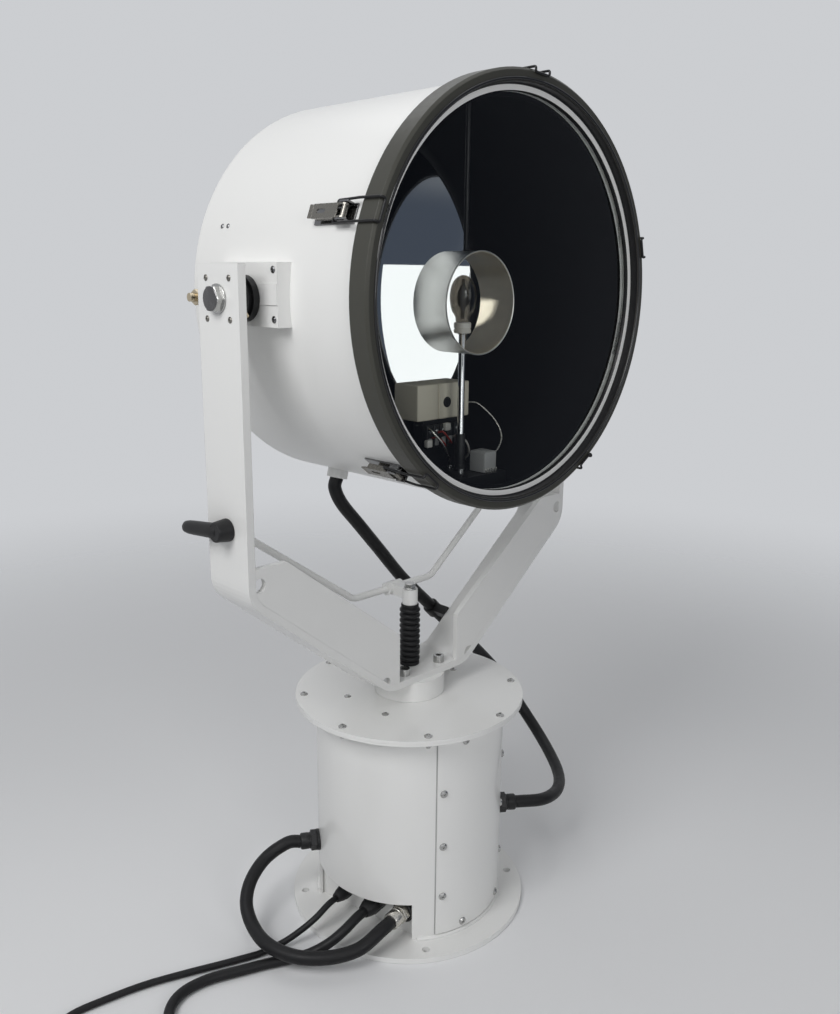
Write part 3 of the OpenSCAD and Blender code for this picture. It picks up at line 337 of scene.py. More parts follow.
class Paint:
    """A Principled shader with broken-up colour, roughness, a fine bump and softened edges in a second
    colour: wear, and on the olive paint partly a painted highlight.
    """

    def __init__(self, name, base, rough, metallic=0.0, tint=0.03, rough_var=0.05, grain=60.0, bump=0.03,
                 bump_scale=500.0, stretch=(1, 1, 1), coat=0.0, coat_rough=0.06, specular=0.5, bevel=0.0,
                 edge_wear_and_sheen=0.0, worn_and_sheen_colour=(0.5, 0.5, 0.5)):
        self.material = bpy.data.materials.new(name)
        self.material.use_nodes = True
        self.tree = self.material.node_tree
        self.tree.nodes.clear()
        out = self.node("ShaderNodeOutputMaterial")
        self.shader = self.node("ShaderNodeBsdfPrincipled")
        self.link(self.shader.outputs[0], out.inputs[0])
        self.shader.inputs["Metallic"].default_value = metallic
        self.shader.inputs["Specular IOR Level"].default_value = specular
        self.shader.inputs["Coat Weight"].default_value = coat
        self.shader.inputs["Coat Roughness"].default_value = coat_rough
        self.coords = self.node("ShaderNodeTexCoord").outputs["Object"]
        mapping = self.node("ShaderNodeMapping")
        mapping.inputs["Scale"].default_value = stretch
        self.link(self.coords, mapping.inputs["Vector"])
        self.place = mapping.outputs["Vector"]
        dark = [c * (1 - tint) for c in base] + [1]
        light = [min(c * (1 + tint), 1) for c in base] + [1]
        self.colour = self.mix(self.noise(grain * 0.12, 3), dark, light)
        rough_range = (max(rough - rough_var, 0.005), rough + rough_var)
        self.link(self.ranged(self.noise(grain, 5), *rough_range), self.shader.inputs["Roughness"])
        normal = None
        if bevel:
            rounded = self.node("ShaderNodeBevel")
            rounded.samples = 4
            rounded.inputs["Radius"].default_value = bevel
            normal = rounded.outputs[0]
            if edge_wear_and_sheen:
                self.wear_and_sheen_edges(normal, edge_wear_and_sheen, worn_and_sheen_colour, grain)
        if bump:
            bumped = self.node("ShaderNodeBump")
            bumped.inputs["Strength"].default_value = bump
            bumped.inputs["Distance"].default_value = 0.0005
            self.link(self.noise(bump_scale, 3), bumped.inputs["Height"])
            if normal:
                self.link(normal, bumped.inputs["Normal"])
            normal = bumped.outputs[0]
        if normal:
            self.link(normal, self.shader.inputs["Normal"])
        self.link(self.colour, self.shader.inputs["Base Color"])

    def wear_and_sheen_edges(self, rounded, amount, colour, grain):
        """Mixes in the edge colour where the rounded normal leaves the surface's own: wear, and on the olive
        paint partly a painted highlight.
        """
        lean = self.node("ShaderNodeVectorMath")
        lean.operation = "DOT_PRODUCT"
        self.link(rounded, lean.inputs[0])
        self.link(self.node("ShaderNodeNewGeometry").outputs["Normal"], lean.inputs[1])
        edge = self.ranged(lean.outputs["Value"], amount, 0, 0.75, 0.99)
        patchy = self.ranged(self.noise(grain * 2, 4), 0.4, 1)
        self.colour = self.mix(self.math("MULTIPLY", edge, patchy), self.colour, list(colour) + [1])

    def turned(self, axis, amount):
        """The fine rings of a lathe about an axis through the middle of the piece."""
        tangent = self.node("ShaderNodeTangent")
        tangent.direction_type = "RADIAL"
        tangent.axis = axis
        self.shader.inputs["Anisotropic"].default_value = amount
        self.link(tangent.outputs[0], self.shader.inputs["Tangent"])

    def node(self, kind):
        return self.tree.nodes.new(kind)

    def link(self, a, b):
        self.tree.links.new(a, b)

    def noise(self, scale, detail):
        n = self.node("ShaderNodeTexNoise")
        n.inputs["Scale"].default_value = scale
        n.inputs["Detail"].default_value = detail
        self.link(self.place, n.inputs["Vector"])
        return n.outputs[0]

    def ranged(self, value, low, high, start=0.3, stop=0.7):
        n = self.node("ShaderNodeMapRange")
        for key, v in (("From Min", start), ("From Max", stop), ("To Min", low), ("To Max", high)):
            n.inputs[key].default_value = v
        self.link(value, n.inputs["Value"])
        return n.outputs[0]

    def math(self, how, a, b=None):
        n = self.node("ShaderNodeMath")
        n.operation = how
        for i, v in enumerate((a, b)):
            if isinstance(v, (int, float)):
                n.inputs[i].default_value = v
            elif v is not None:
                self.link(v, n.inputs[i])
        return n.outputs[0]

    def mix(self, factor, a, b):
        n = self.node("ShaderNodeMix")
        n.data_type = "RGBA"
        self.link(factor, n.inputs[0])
        for i, v in ((6, a), (7, b)):
            if isinstance(v, list):
                n.inputs[i].default_value = v
            else:
                self.link(v, n.inputs[i])
        return n.outputs[2]


WHITE_BASE = (0.86, 0.86, 0.845)
WHITE_GRAIN = {"tint": 0.008, "rough_var": 0.02, "grain": 18, "bump": 0.012, "bump_scale": 160}
WHITE = Paint("white_paint", WHITE_BASE, 0.30, **WHITE_GRAIN, coat=0.3, bevel=0.0009, edge_wear_and_sheen=0.10,
              worn_and_sheen_colour=(0.50, 0.49, 0.46))
# Lighter olive edges: partly wear, partly a painted highlight along the bezel's edges.
OLIVE = Paint("olive_paint", (0.050, 0.0495, 0.041), 0.40, tint=0.10, grain=120, bump=0.10, bump_scale=900,
              specular=0.35, bevel=0.0016, edge_wear_and_sheen=0.35, worn_and_sheen_colour=(0.15, 0.146, 0.127))
# Darker than bright steel: partly the steel's own grey, partly a painted dark reflection of the surroundings.
STEEL = Paint("stainless", (0.46, 0.46, 0.45), 0.24, metallic=1, tint=0.05, grain=120, bump=0.01,
              bump_scale=600, bevel=0.0004)
DARK_STEEL = Paint("dark_steel", (0.20, 0.20, 0.205), 0.14, metallic=1, tint=0.08, grain=200, bump=0.02,
                   bevel=0.0006, edge_wear_and_sheen=0.5, worn_and_sheen_colour=(0.42, 0.42, 0.42))
# Near-black base on the turned bolt faces: painted dark reflection of the surroundings they mirror.
TURNED_STEEL_PAINTED_DARK = Paint("turned_steel_painted_dark", (0.14, 0.138, 0.14), 0.24, metallic=1, tint=0.05, grain=120, bump=0)
TURNED_STEEL_PAINTED_DARK.turned("X", 0.85)
GEAR_STEEL = Paint("gear_steel", (0.50, 0.50, 0.51), 0.30, metallic=1, tint=0.05, grain=200, bump=0.04,
                   bevel=0.0004)
LATCH_STEEL = Paint("latch_steel", (0.22, 0.21, 0.19), 0.26, metallic=1, tint=0.12, rough_var=0.1, grain=260,
                    bump=0.05, bevel=0.0004, edge_wear_and_sheen=0.6, worn_and_sheen_colour=(0.56, 0.54, 0.50))
BLACK_PLASTIC = Paint("black_plastic", (0.016, 0.016, 0.017), 0.42, tint=0.15, grain=160, bump=0.08,
                      bump_scale=1400, specular=0.3, bevel=0.0006, edge_wear_and_sheen=0.4, worn_and_sheen_colour=(0.05, 0.05, 0.05))
BLACK_PAINT = Paint("black_paint", (0.012, 0.012, 0.013), 0.36, tint=0.2, grain=160, bump=0.04, specular=0.3,
                    bevel=0.0005)
GLOSS_BLACK = Paint("gloss_black", (0.010, 0.010, 0.011), 0.14, tint=0.2, rough_var=0.04, grain=90, bump=0)
RUBBER = Paint("rubber_black", (0.011, 0.011, 0.012), 0.46, tint=0.25, rough_var=0.09, grain=120, bump=0.10,
               bump_scale=900, specular=0.25)
SEAL = Paint("seal_white", (0.92, 0.92, 0.905), 0.55, tint=0.02, grain=150, bump=0.05)
BRASS = Paint("brass", (0.56, 0.48, 0.35), 0.30, metallic=1, tint=0.10, grain=200, bump=0.03, bevel=0.0004)
MIRROR = Paint("mirror", (0.88, 0.88, 0.875), 0.015, metallic=1, tint=0.01, rough_var=0.008, grain=8, bump=0)
ALUMINIUM = Paint("satin_aluminium", (0.70, 0.70, 0.68), 0.36, metallic=1, tint=0.04, grain=160, bump=0.03,
                  stretch=(1, 8, 1))
# Cream tint on the polished lining: painted reflection of the warm light that the lining mirrors.
POLISHED_PAINTED_REFLECTION = Paint("polished_aluminium_painted_reflection", (0.95, 0.86, 0.70), 0.38, metallic=1, rough_var=0.03, bump=0)
CHROME = Paint("chrome", (0.52, 0.52, 0.53), 0.09, metallic=1, rough_var=0.03, grain=120, bump=0)
CREAM = Paint("cream_plastic", (0.88, 0.82, 0.68), 0.40, tint=0.05, grain=90, bump=0.04, bevel=0.0005)
MOTOR = Paint("grey_motor", (0.06, 0.062, 0.068), 0.40, tint=0.08, grain=120, bump=0.06, bevel=0.0005)
PALE_METAL = Paint("pale_metal", (0.62, 0.60, 0.55), 0.28, metallic=1, tint=0.08, grain=220, bump=0.03)
GREY_PLASTIC = Paint("grey_plastic", (0.42, 0.42, 0.42), 0.45, tint=0.06, grain=160, bump=0.05)
RED_WIRE = Paint("red_wire", (0.30, 0.02, 0.015), 0.40, tint=0.08, grain=200, bump=0)
WHITE_WIRE = Paint("white_wire", (0.62, 0.60, 0.56), 0.45, tint=0.05, grain=200, bump=0)
CERAMIC = Paint("ceramic", (0.72, 0.70, 0.66), 0.35, tint=0.03, grain=120, bump=0.02)
QUARTZ = Paint("quartz", (0.50, 0.50, 0.50), 0.25, tint=0.05, grain=200, bump=0)


def glass(name, tint, roughness):
    """Clear glass that lets light and shadow through and mirrors at a glancing angle on its outer side."""
    material = bpy.data.materials.new(name)
    material.use_nodes = True
    tree = material.node_tree
    tree.nodes.clear()
    out, blend, clear, gloss, fresnel, coords, noise, ramp, facing, outer = add_nodes(
        tree, "OutputMaterial", "MixShader", "BsdfTransparent", "BsdfGlossy", "Fresnel", "TexCoord",
        "TexNoise", "MapRange", "NewGeometry", "Math")
    clear.inputs["Color"].default_value = tint
    fresnel.inputs["IOR"].default_value = 1.5
    noise.inputs["Scale"].default_value = 9
    ramp.inputs["To Min"].default_value = roughness
    ramp.inputs["To Max"].default_value = roughness * 2
    outer.operation = "SUBTRACT"
    outer.use_clamp = True
    connect(tree, (coords.outputs["Object"], noise.inputs["Vector"]),
            (noise.outputs[0], ramp.inputs["Value"]),
            (ramp.outputs[0], gloss.inputs["Roughness"]), (fresnel.outputs[0], outer.inputs[0]),
            (facing.outputs["Backfacing"], outer.inputs[1]), (outer.outputs[0], blend.inputs[0]),
            (clear.outputs[0], blend.inputs[1]), (gloss.outputs[0], blend.inputs[2]),
            (blend.outputs[0], out.inputs[0]))
    return material


CLEAR_GLASS = glass("clear_glass", (0.955, 0.965, 0.96, 1), 0.01)
# Dark tint on the lamp's glass: painted shade for the dark barrel seen through it.
BULB_GLASS_PAINTED_SHADE = glass("lamp_glass", (0.30, 0.28, 0.25, 1), 0.02)


def barrel_paint():
    """Coated white outside and dull black inside, told apart by the distance from the beam's axis."""
    middle_of_sheet, black, dulling, coat = BARREL_R - 1.2, [0.004, 0.004, 0.005, 1], 0.5, 0.5
    paint = Paint("barrel_paint", WHITE_BASE, 0.32, **WHITE_GRAIN, coat_rough=0.34, specular=0.08)
    split = paint.node("ShaderNodeSeparateXYZ")
    paint.link(paint.coords, split.inputs[0])
    up = paint.math("SUBTRACT", split.outputs["Z"], AXIS_H * MM)
    flat = paint.math("MULTIPLY", split.outputs["X"], split.outputs["X"])
    radius = paint.math("SQRT", paint.math("ADD", flat, paint.math("MULTIPLY", up, up)))
    inside = paint.math("LESS_THAN", radius, middle_of_sheet * MM)
    rough = paint.shader.inputs["Roughness"]
    duller = paint.math("MULTIPLY", inside, dulling)
    paint.link(paint.math("ADD", rough.links[0].from_socket, duller), rough)
    outside = paint.math("SUBTRACT", 1.0, inside)
    paint.link(paint.math("MULTIPLY", outside, coat), paint.shader.inputs["Coat Weight"])
    paint.link(paint.mix(inside, paint.colour, black), paint.shader.inputs["Base Color"])
    return paint


FINISH = {
    "white_paint": WHITE, "olive_paint": OLIVE, "stainless": STEEL, "dark_steel": DARK_STEEL,
    "gear_steel": GEAR_STEEL, "black_paint": BLACK_PAINT, "black_plastic": BLACK_PLASTIC,
    "rubber_black": RUBBER, "seal_white": SEAL, "brass": BRASS, "mirror": MIRROR,
    "satin_aluminium": ALUMINIUM, "chrome": CHROME, "cream_plastic": CREAM, "grey_motor": MOTOR,
    "clear_glass": CLEAR_GLASS, "lamp_glass": BULB_GLASS_PAINTED_SHADE,
}
OWN_FINISH = {"lamp_barrel": barrel_paint(), "latch_plates": DARK_STEEL, "bearing_screws": LATCH_STEEL,
              "drum_screws": DARK_STEEL}


def material_of(paint):
    return paint.material if isinstance(paint, Paint) else paint


def dress(obj, paint):
    obj.data.materials.clear()
    obj.data.materials.append(material_of(paint))
    return obj


def place(obj, slot, body, *nodes):
    """Rides on a body and stands for the nodes, which it hides; the slot is not used."""
    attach(obj, body)
    if nodes:
        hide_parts(*nodes)
    return obj


def coated(paint, *meshes):
    return [(mesh, paint) for mesh in meshes]


def assemble(name, slot, body, parts, *nodes):
    """One piece from (mesh, paint) pairs."""
    return place(join(name, [dress(obj, paint) for obj, paint in parts]), slot, body, *nodes)


for row in frame["record"]["subparts"]:
    material = material_of(OWN_FINISH.get(row["node"], FINISH[row["material_slot"]]))
    obj = NODES[row["node"]]
    if not obj.data.materials:
        obj.data.materials.append(material)
    for entry in obj.material_slots:
        entry.material = material


# Cables and conduits, on the routes of the part's source

def port_end(azimuth, z, out):
    return (*polar(COLUMN_R + PORT_OUT + out, azimuth), z)


def gland_end(across, out):
    a, b = polar(GLAND_OUT + out, GLAND_TURN), polar(across, GLAND_TURN + 90)
    return (a[0] + b[0], a[1] + b[1], GLAND_H)


def boss_end(out):
    x, z = polar(BARREL_R + BOSS_OUT + out, BOSS_TURN)
    return Vector((x, BOSS_Y, AXIS_H + z))


def clip_spot(x, y):
    """The clip's place in the middle of the yoke's bar, on its slope."""
    bend = YOKE_FLAT - 5 * math.tan(math.radians(YOKE_SLOPE / 2))
    return Vector((x, y, 365 + (x - bend) * math.tan(math.radians(YOKE_SLOPE))))


CLIP = clip_spot(124, 74)
CLIP_DIR = Vector((1, 0, -1)).normalized()


def clip_end(out):
    return CLIP + CLIP_DIR * out


BOSS_RUN, CLIP_RUN, SAG = 15, 14, Vector((-4.5, 2, -4))
CHORD = clip_end(-CLIP_RUN) - boss_end(BOSS_RUN)
UPPER = [boss_end(0.3), boss_end(BOSS_RUN),
         *(boss_end(BOSS_RUN) + CHORD * t + SAG for t in (0.1, 0.27, 0.47, 0.73)),
         clip_end(-CLIP_RUN), clip_end(-0.15)]
BULGE = (310, -4, 150)
LOWER = [clip_end(0.15), clip_end(CLIP_RUN), (160, 74, 370), (206, 78, 330), (252, 76, 285), (292, 62, 234),
         (312, 36, 184), BULGE, (292, -46, 131), (266, -82, 123), (236, -107, 122), (203, -121, 125),
         (167, -124, 131), port_end(*LAMP_PORT, 8), port_end(*LAMP_PORT, 0.3)]
LOOP = [port_end(*LOOP_PORT, 0.3), port_end(*LOOP_PORT, 20), (-190, 106, 84), (-224, 96, 68), (-246, 76, 50),
        (-256, 44, 35), (-258, 6, 30), (-244, -34, 28), (-214, -66, 28), (-178, -87, 33),
        gland_end(LOOP_ACROSS, 57), gland_end(LOOP_ACROSS, 36.3)]
SUPPLY = [gland_end(SUPPLY_ACROSS, 40.3), gland_end(SUPPLY_ACROSS, 58), (-172, -48, 36), (-196, -40, 23),
          (-222, -24, 11.5), (-255, -2, 7.2), (-295, 16, 7.2), (-340, 34, 7.2), (-378, 36, 7.2),
          (-406, 18, 7.2), (-420, -16, 7.2), (-423, -56, 7.2), (-424, -100, 7.2)]
CONTROL = [gland_end(CONTROL_ACROSS, 40.3), gland_end(CONTROL_ACROSS, 57), (-180, 2, 35), (-202, 9, 22),
           (-228, 19, 10), (-262, 30, 4.7), (-305, 47, 4.7), (-352, 67, 4.7), (-402, 86, 4.7),
           (-452, 98, 4.7), (-494, 104, 4.7), (-522, 94, 4.7), (-532, 70, 4.7)]
OFF_FLOOR = 0.2
COIL_TURNS = 3
SUPPLY_COIL, SUPPLY_TOP = (-522, -100), 29.4
CONTROL_COIL, CONTROL_TOP = (-600, 70), 19.4


def coil(centre, outer, pitch, turns, d, top_r, top_z):
    """A flat spiral of that many turns, then half a turn that climbs onto it and ends heading +Y."""
    pts, steps, flat = [], 36, d / 2 + OFF_FLOOR
    climbed_by, shifts_from = 0.62, 0.45
    for k in range(1, turns * steps + 1):
        x, y = polar(outer - pitch * k / steps, -360 * k / steps)
        pts.append((centre[0] + x, centre[1] + y, flat))
    inner = outer - pitch * turns
    for k in range(1, steps // 2 + 1):
        t = 2 * k / steps
        climb = min(t / climbed_by, 1.0)
        shift = max((t - shifts_from) / (1 - shifts_from), 0.0)
        x, y = polar(inner + (top_r - inner) * smooth(shift), -180 * t)
        pts.append((centre[0] + x, centre[1] + y, flat + (top_z - flat) * smooth(climb)))
    return pts


def coil_tie(name, centre, r_in, r_out, d):
    """A flat strap round the turns of a coil, with its buckle on top."""
    spot = Matrix.Translation(Vector((*centre, 0)) * MM) @ Matrix.Rotation(math.radians(90), 4, "Z")
    upright = spot @ Matrix.Rotation(math.radians(90), 4, "X")
    outer = rounded_outline(r_in - 1.5, r_out + 1.5, 0.02, d + 1.6, d * 0.42)
    inner = rounded_outline(r_in - 0.3, r_out + 0.3, 0.15, d + 0.4, d * 0.42)
    strap = ring_plate(name, outer, inner, -2.4, 2.4, upright)
    middle = (r_in + r_out) / 2
    buckle = rounded_box(name + "_buckle", (middle - 4, -3.6, d + 0.6), (middle + 4, 3.6, d + 4.6), 0.9, spot)
    return assemble(name, "black_plastic", "base", coated(BLACK_PLASTIC, strap, buckle))


def connector(name, node, x, y, z, r, length):
    """A round inline connector with a boot, a knurled ring and a capped mouth."""
    spine = at(x, y, z, (0, 1, 0))
    ribs, grips = 5, 18
    body = [(0.42, 0.0), (0.55, 0.005)]
    for k in range(ribs):
        body += [(0.58 + 0.02 * k, 0.05 + 0.05 * k), (0.5 + 0.02 * k, 0.075 + 0.05 * k)]
    body += [(0.70, 0.31), (0.88, 0.33), (0.9, 0.35), (0.9, 0.56), (0.86, 0.58), (0.86, 0.595), (0.96, 0.60),
             (0.995, 0.62), (0.995, 0.88), (0.96, 0.90), (0.84, 0.91), (0.84, 0.985), (0.80, 1), (0.62, 1),
             (0.62, 0.94), (0, 0.94)]
    parts = [lathe(name, [(a * r, b * length) for a, b in body], spine, 48, 30)]
    for k in range(grips):
        turn = spine @ Matrix.Rotation(TAU * k / grips, 4, "Z")
        parts.append(rounded_box(name + "_grip", (r * 0.95, -r * 0.05, length * 0.64),
                                 (r * 0.999, r * 0.05, length * 0.86), r * 0.02, turn, 1))
    return assemble(name, "black_plastic", "base", coated(BLACK_PLASTIC, *parts), node)


def free_cable(name, route, centre, outer, pitch, d, top_r, top_z):
    """A cable from its gland to a coil on the floor, as one cord; its connector and tie are made apart."""
    path = [(p.x, p.y, max(p.z, d / 2 + OFF_FLOOR)) for p in curve_points(route, 5)]
    path += coil(centre, outer, pitch, COIL_TURNS, d, top_r, top_z)
    cable = dress(tube(name, path, d / 2), RUBBER)
    place(cable, "rubber_black", "base", name.replace("_lead", "_cable"), name.replace("_lead", "_coil"))


supply_plug = connector("supply_plug", "supply_connector", -590, -120, SUPPLY_TOP, 15, 78)
control_plug = connector("control_plug", "control_connector", -649, 56, CONTROL_TOP, 10, 56)
supply_tie = coil_tie("supply_tie", SUPPLY_COIL, 51.9, 94.4, 14.2)
control_tie = coil_tie("control_tie", CONTROL_COIL, 38.2, 65.7, 9.2)
free_cable("supply_lead", SUPPLY, SUPPLY_COIL, 98, 14.2, 14, 68, SUPPLY_TOP)
free_cable("control_lead", CONTROL, CONTROL_COIL, 68, 9.15, 9, 49, CONTROL_TOP)
HOSE_STEPS = 10
HOSE_R = CONDUIT_R - 0.15


def conduit(name, route, node):
    piece = dress(tube(name, curve_points(route, HOSE_STEPS), HOSE_R, 28), RUBBER)
    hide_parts(node)
    return piece


loop = conduit("loop_hose", LOOP, "loop_conduit")
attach(loop, "base")
lower = conduit("lower_hose", LOWER, "conduit_lower")
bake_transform(lower)
upper = conduit("upper_hose", UPPER, "conduit_upper")
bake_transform(upper)


# Glands and conduit fittings

def outward(azimuth):
    return (*polar(1, azimuth), 0)


def gland(name, across, cable_r):
    """A hex body, a ribbed nut and a dome that tapers onto the cable."""
    spine = at(*gland_end(across, 0), outward(GLAND_TURN))
    r, c, count = cable_r + 6, cable_r, 16
    hexagon = lathe(name, [(r + 0.7, 0.1), (r + 1.5, 0.7), (r + 1.5, 6.3), (r + 0.7, 7)], spine, 6)
    nut = lathe(name, [(r - 1, 6.8), (r - 1, 11.6), (r - 0.4, 12), (r - 0.1, 12.8), (r - 0.1, 25.6),
                       (r - 0.5, 27), (c + 4.9, 31), (c + 3.6, 35), (c + 2.5, 38.6), (c + 1.9, 39.8),
                       (c + 1.2, 40), (c, 40)], spine, 48, 30)
    ribs = [rounded_box(name, (r - 0.6, -0.9, 13.4), (r + 0.45, 0.9, 25), 0.4,
                        spine @ Matrix.Rotation(TAU * k / count, 4, "Z"), 1) for k in range(count)]
    assemble(name, "black_plastic", "base", coated(BLACK_PLASTIC, hexagon, nut, *ribs), "cable_glands")


gland("control_gland", CONTROL_ACROSS, 4.5)
gland("supply_gland", SUPPLY_ACROSS, 7)


def side_fitting(name, azimuth, z):
    """A flange on the column, a hex nut and a ferrule with a groove."""
    spine = at(*polar(COLUMN_R, azimuth), z, outward(azimuth))
    flange = lathe(name, [(15.2, 0), (15.5, 0.4), (15.5, 3.6), (15.1, 4)], spine, 48)
    hexagon = lathe(name, [(14.3, 4), (15, 4.6), (15, 12.4), (14.2, 13)], spine, 6)
    ferrule = lathe(name, [(12, 12.8), (12, 15), (11.5, 15.4), (11.5, 16.2), (12, 16.6), (12, 26),
                           (11.4, 27.4), (10.6, 28), (9.5, 28)], spine, 48)
    parts = coated(BLACK_PLASTIC, flange, hexagon, ferrule)
    assemble(name, "black_plastic", "base", parts, "conduit_fittings")


side_fitting("lamp_port_fitting", *LAMP_PORT)
side_fitting("loop_port_fitting", *LOOP_PORT)


def loop_gland():
    """A black sealing ring on the plate and a pale metal nut and ferrule."""
    name, spine = "loop_gland", at(*gland_end(LOOP_ACROSS, 0), outward(GLAND_TURN))
    ring = lathe(name, [(15.9, 0.1), (16.4, 0.8), (16.4, 6.4), (15.4, 7.6), (12, 8)], spine, 48)
    nut = lathe(name, [(13.6, 8), (14.2, 8.6), (14.2, 16.2), (13.4, 17)], spine, 6)
    ferrule = lathe(name, [(11.6, 16.8), (12, 17.6), (12, 21), (11.3, 21.6), (11.3, 23), (12, 23.6), (12, 34),
                           (11.3, 35.6), (10.4, 36), (9.5, 36)], spine, 48)
    parts = coated(BLACK_PLASTIC, ring) + coated(PALE_METAL, nut, ferrule)
    assemble(name, "black_plastic", "base", parts, "conduit_fittings")


loop_gland()


def foot_weld():
    """A weld bead between the column and its flange, left out at the access opening."""
    start, sweep, steps = 231, 276, 240
    path = [(*polar(COLUMN_R + 0.8, start + sweep * k / steps), 9.2) for k in range(steps + 1)]
    bead = tube("foot_weld", path, 3, 12, ripple=lambda run: 1 + 0.10 * math.sin(run / 0.0007))
    place(dress(bead, WHITE), "white_paint", "base")


foot_weld()


def cover_shadow_strip():
    """A thin grey strip round the access cover: painted shadow along the cover's edge."""
    low, high = (corner[2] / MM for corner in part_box("access_cover"))
    start, stop, steps = 241.7, 313.3, 24
    corners = [(start, low), (start, high), (stop, high), (stop, low), (start, low)]
    line = corners[:1]
    for (a, z), (b, w) in zip(corners, corners[1:]):
        line += [(a + (b - a) * k / steps, z + (w - z) * k / steps) for k in range(1, steps + 1)]
    edge = tube("cover_shadow_strip", [(*polar(COLUMN_R + 0.3, a), z) for a, z in line], 0.7, 8)
    place(dress(edge, GREY_PLASTIC), "grey_motor", "base")


cover_shadow_strip()


# Gaiter and tilt linkage

def make_gaiter():
    low, high, cuff, ribs, points = 370.0, 462.0, 5, 10, 8
    step = (high - low - 2 * cuff) / ribs
    profile = [(8.2, low), (14.0, low), (14.2, low + 0.6), (14.2, low + 4.4), (13.6, low + cuff)]
    for k in range(ribs):
        for s in range(points):
            r = 12.0 + 3.0 * math.sin(math.pi * s / points) ** 0.8
            profile.append((r, low + cuff + (k + s / points) * step))
    profile += [(12.0, high - cuff), (12.6, high - 4.6), (12.8, high - 1), (12.2, high), (8.2, high)]
    piece = dress(lathe("rubber_gaiter", profile, Matrix(), 56, 50), RUBBER)
    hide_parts("gaiter")
    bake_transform(piece)


def tilt_linkage():
    """The bent rod with a slotted eye at each end, and the bolt of its clamp."""
    half = [(77, 35, 478), (ROD_X, 50, 622), (ROD_X, 61.75, 884)]
    line = [(-x, y, z) for x, y, z in reversed(half)] + half
    parts = [tube("tilt_bar", bent_points(line, 25, 12), 5, 24)]
    for side in (-1, 1):
        spot = Matrix.Translation(Vector((side * ROD_X, 0, AXIS_H)) * MM) @ TURNED
        outer = rounded_outline(48.5, 75, -11, 11, 10.99, 12)
        inner = rounded_outline(54, 69.5, -5.5, 5.5, 5.49, 12)
        parts.append(ring_plate("tilt_bar", outer, inner, -4, 4, spot))
    assemble("tilt_bar", "white_paint", "push", coated(WHITE, *parts), "tilt_rod")
    spine = at(0, 0, CLAMP_TOP)
    washer = lathe("clamp_bolt", [(9.3, 0.1), (9.6, 0.4), (9.6, 1.7), (9.2, 2.06)], spine, 40)
    head = lathe("clamp_bolt", [(8.1, 2), (8.1, 8.3), (7.2, 9.06)], spine, 6)
    assemble("clamp_bolt", "stainless", "push", coated(STEEL, washer, head))


def grease_nipples():
    for side, name in ((-1, "left_nipple"), (1, "right_nipple")):
        spine = at(side * 289, -32.3, 877.3, (0, -0.9, -0.436))
        body = lathe(name, [(2.6, 0), (2.6, 2.4), (1.5, 3), (1.3, 4), (1.9, 4.8), (1.7, 5.6), (0, 6.2)],
                     spine, 20)
        place(dress(body, BRASS), "brass", "yoke")


def lever():
    """The clamping lever: a waisted hub and a tapered handle."""
    hub = lathe("clamp_lever", [(12.6, 0), (13.7, 0.3), (14, 1.2), (13.9, 3.6), (13.1, 9), (12.4, 15),
                                (12.1, 18.4), (11.2, 19.7), (9.4, 20), (8.8, 19.4), (0, 19.4)],
                at(-ARM_FACE, -2, LOCK_H, (-1, 0, 0)), 48, 30)
    handle = lathe("clamp_lever", [(8.6, 0), (9.7, 3), (9.3, 14), (8.9, 30), (8.7, 44), (8.3, 54), (7.2, 60),
                                   (4.8, 63.2), (2.4, 64.2), (0, 64.4)],
                   at(-314, -2, LOCK_H, (-0.1216, 0.9901, -0.0698)), 40, 30)
    stud = lathe("clamp_lever", [(4.6, 0), (5, 0.4), (5, 10.3)], at(-292, -2, LOCK_H, (-1, 0, 0)), 32)
    parts = coated(BLACK_PLASTIC, hub, handle) + coated(STEEL, stud)
    assemble("clamp_lever", "black_plastic", "lock", parts, "lock_lever")


def trunnion_bolts():
    """A washer and a chamfered hexagon with a dished, turned face on each side."""
    for side, name in ((-1, "left_bolt"), (1, "right_bolt")):
        spine = at(side * ARM_FACE, 0, AXIS_H, (side, 0, 0))
        washer = lathe(name, [(9.2, 0), (16.2, 0), (16.5, 0.3), (16.5, 1.7), (16.1, 2)], spine, 64)
        flats = lathe(name, [(15.5, 2), (15.5, 9), (14.6, 10)], spine, 6)
        face = lathe(name, [(13.6, 9.6), (13.6, 10.2), (13.1, 10.7), (12.4, 10.8), (0, 11.6)], spine, 64, 20)
        shank = lathe(name, [(9, -52), (9, 0.4)], spine, 48)
        parts = coated(STEEL, washer, flats) + [(face, TURNED_STEEL_PAINTED_DARK), (shank, DARK_STEEL)]
        assemble(name, "dark_steel", "lamp_house", parts, "trunnion_bolts")


make_gaiter()
trunnion_bolts()
tilt_linkage()
grease_nipples()
lever()


# Lamp house

def make_mirror():
    """A thin paraboloid with a flat rim."""
    focal, rim, back, edge, thick, steps = 244.0, 231.0, 98.0, 243.4, 2.8, 48
    depth = rim * rim / (4 * focal)
    front = [(rim * k / steps, (rim * k / steps) ** 2 / (4 * focal) - depth - back) for k in range(steps + 1)]
    behind = [(r, z - thick) for r, z in reversed(front)]
    dish = lathe("mirror_dish", front + [(edge, -back), (edge, -back - thick)] + behind, house(), 160, 30)
    place(dress(dish, MIRROR), "mirror", "lamp_house", "reflector")


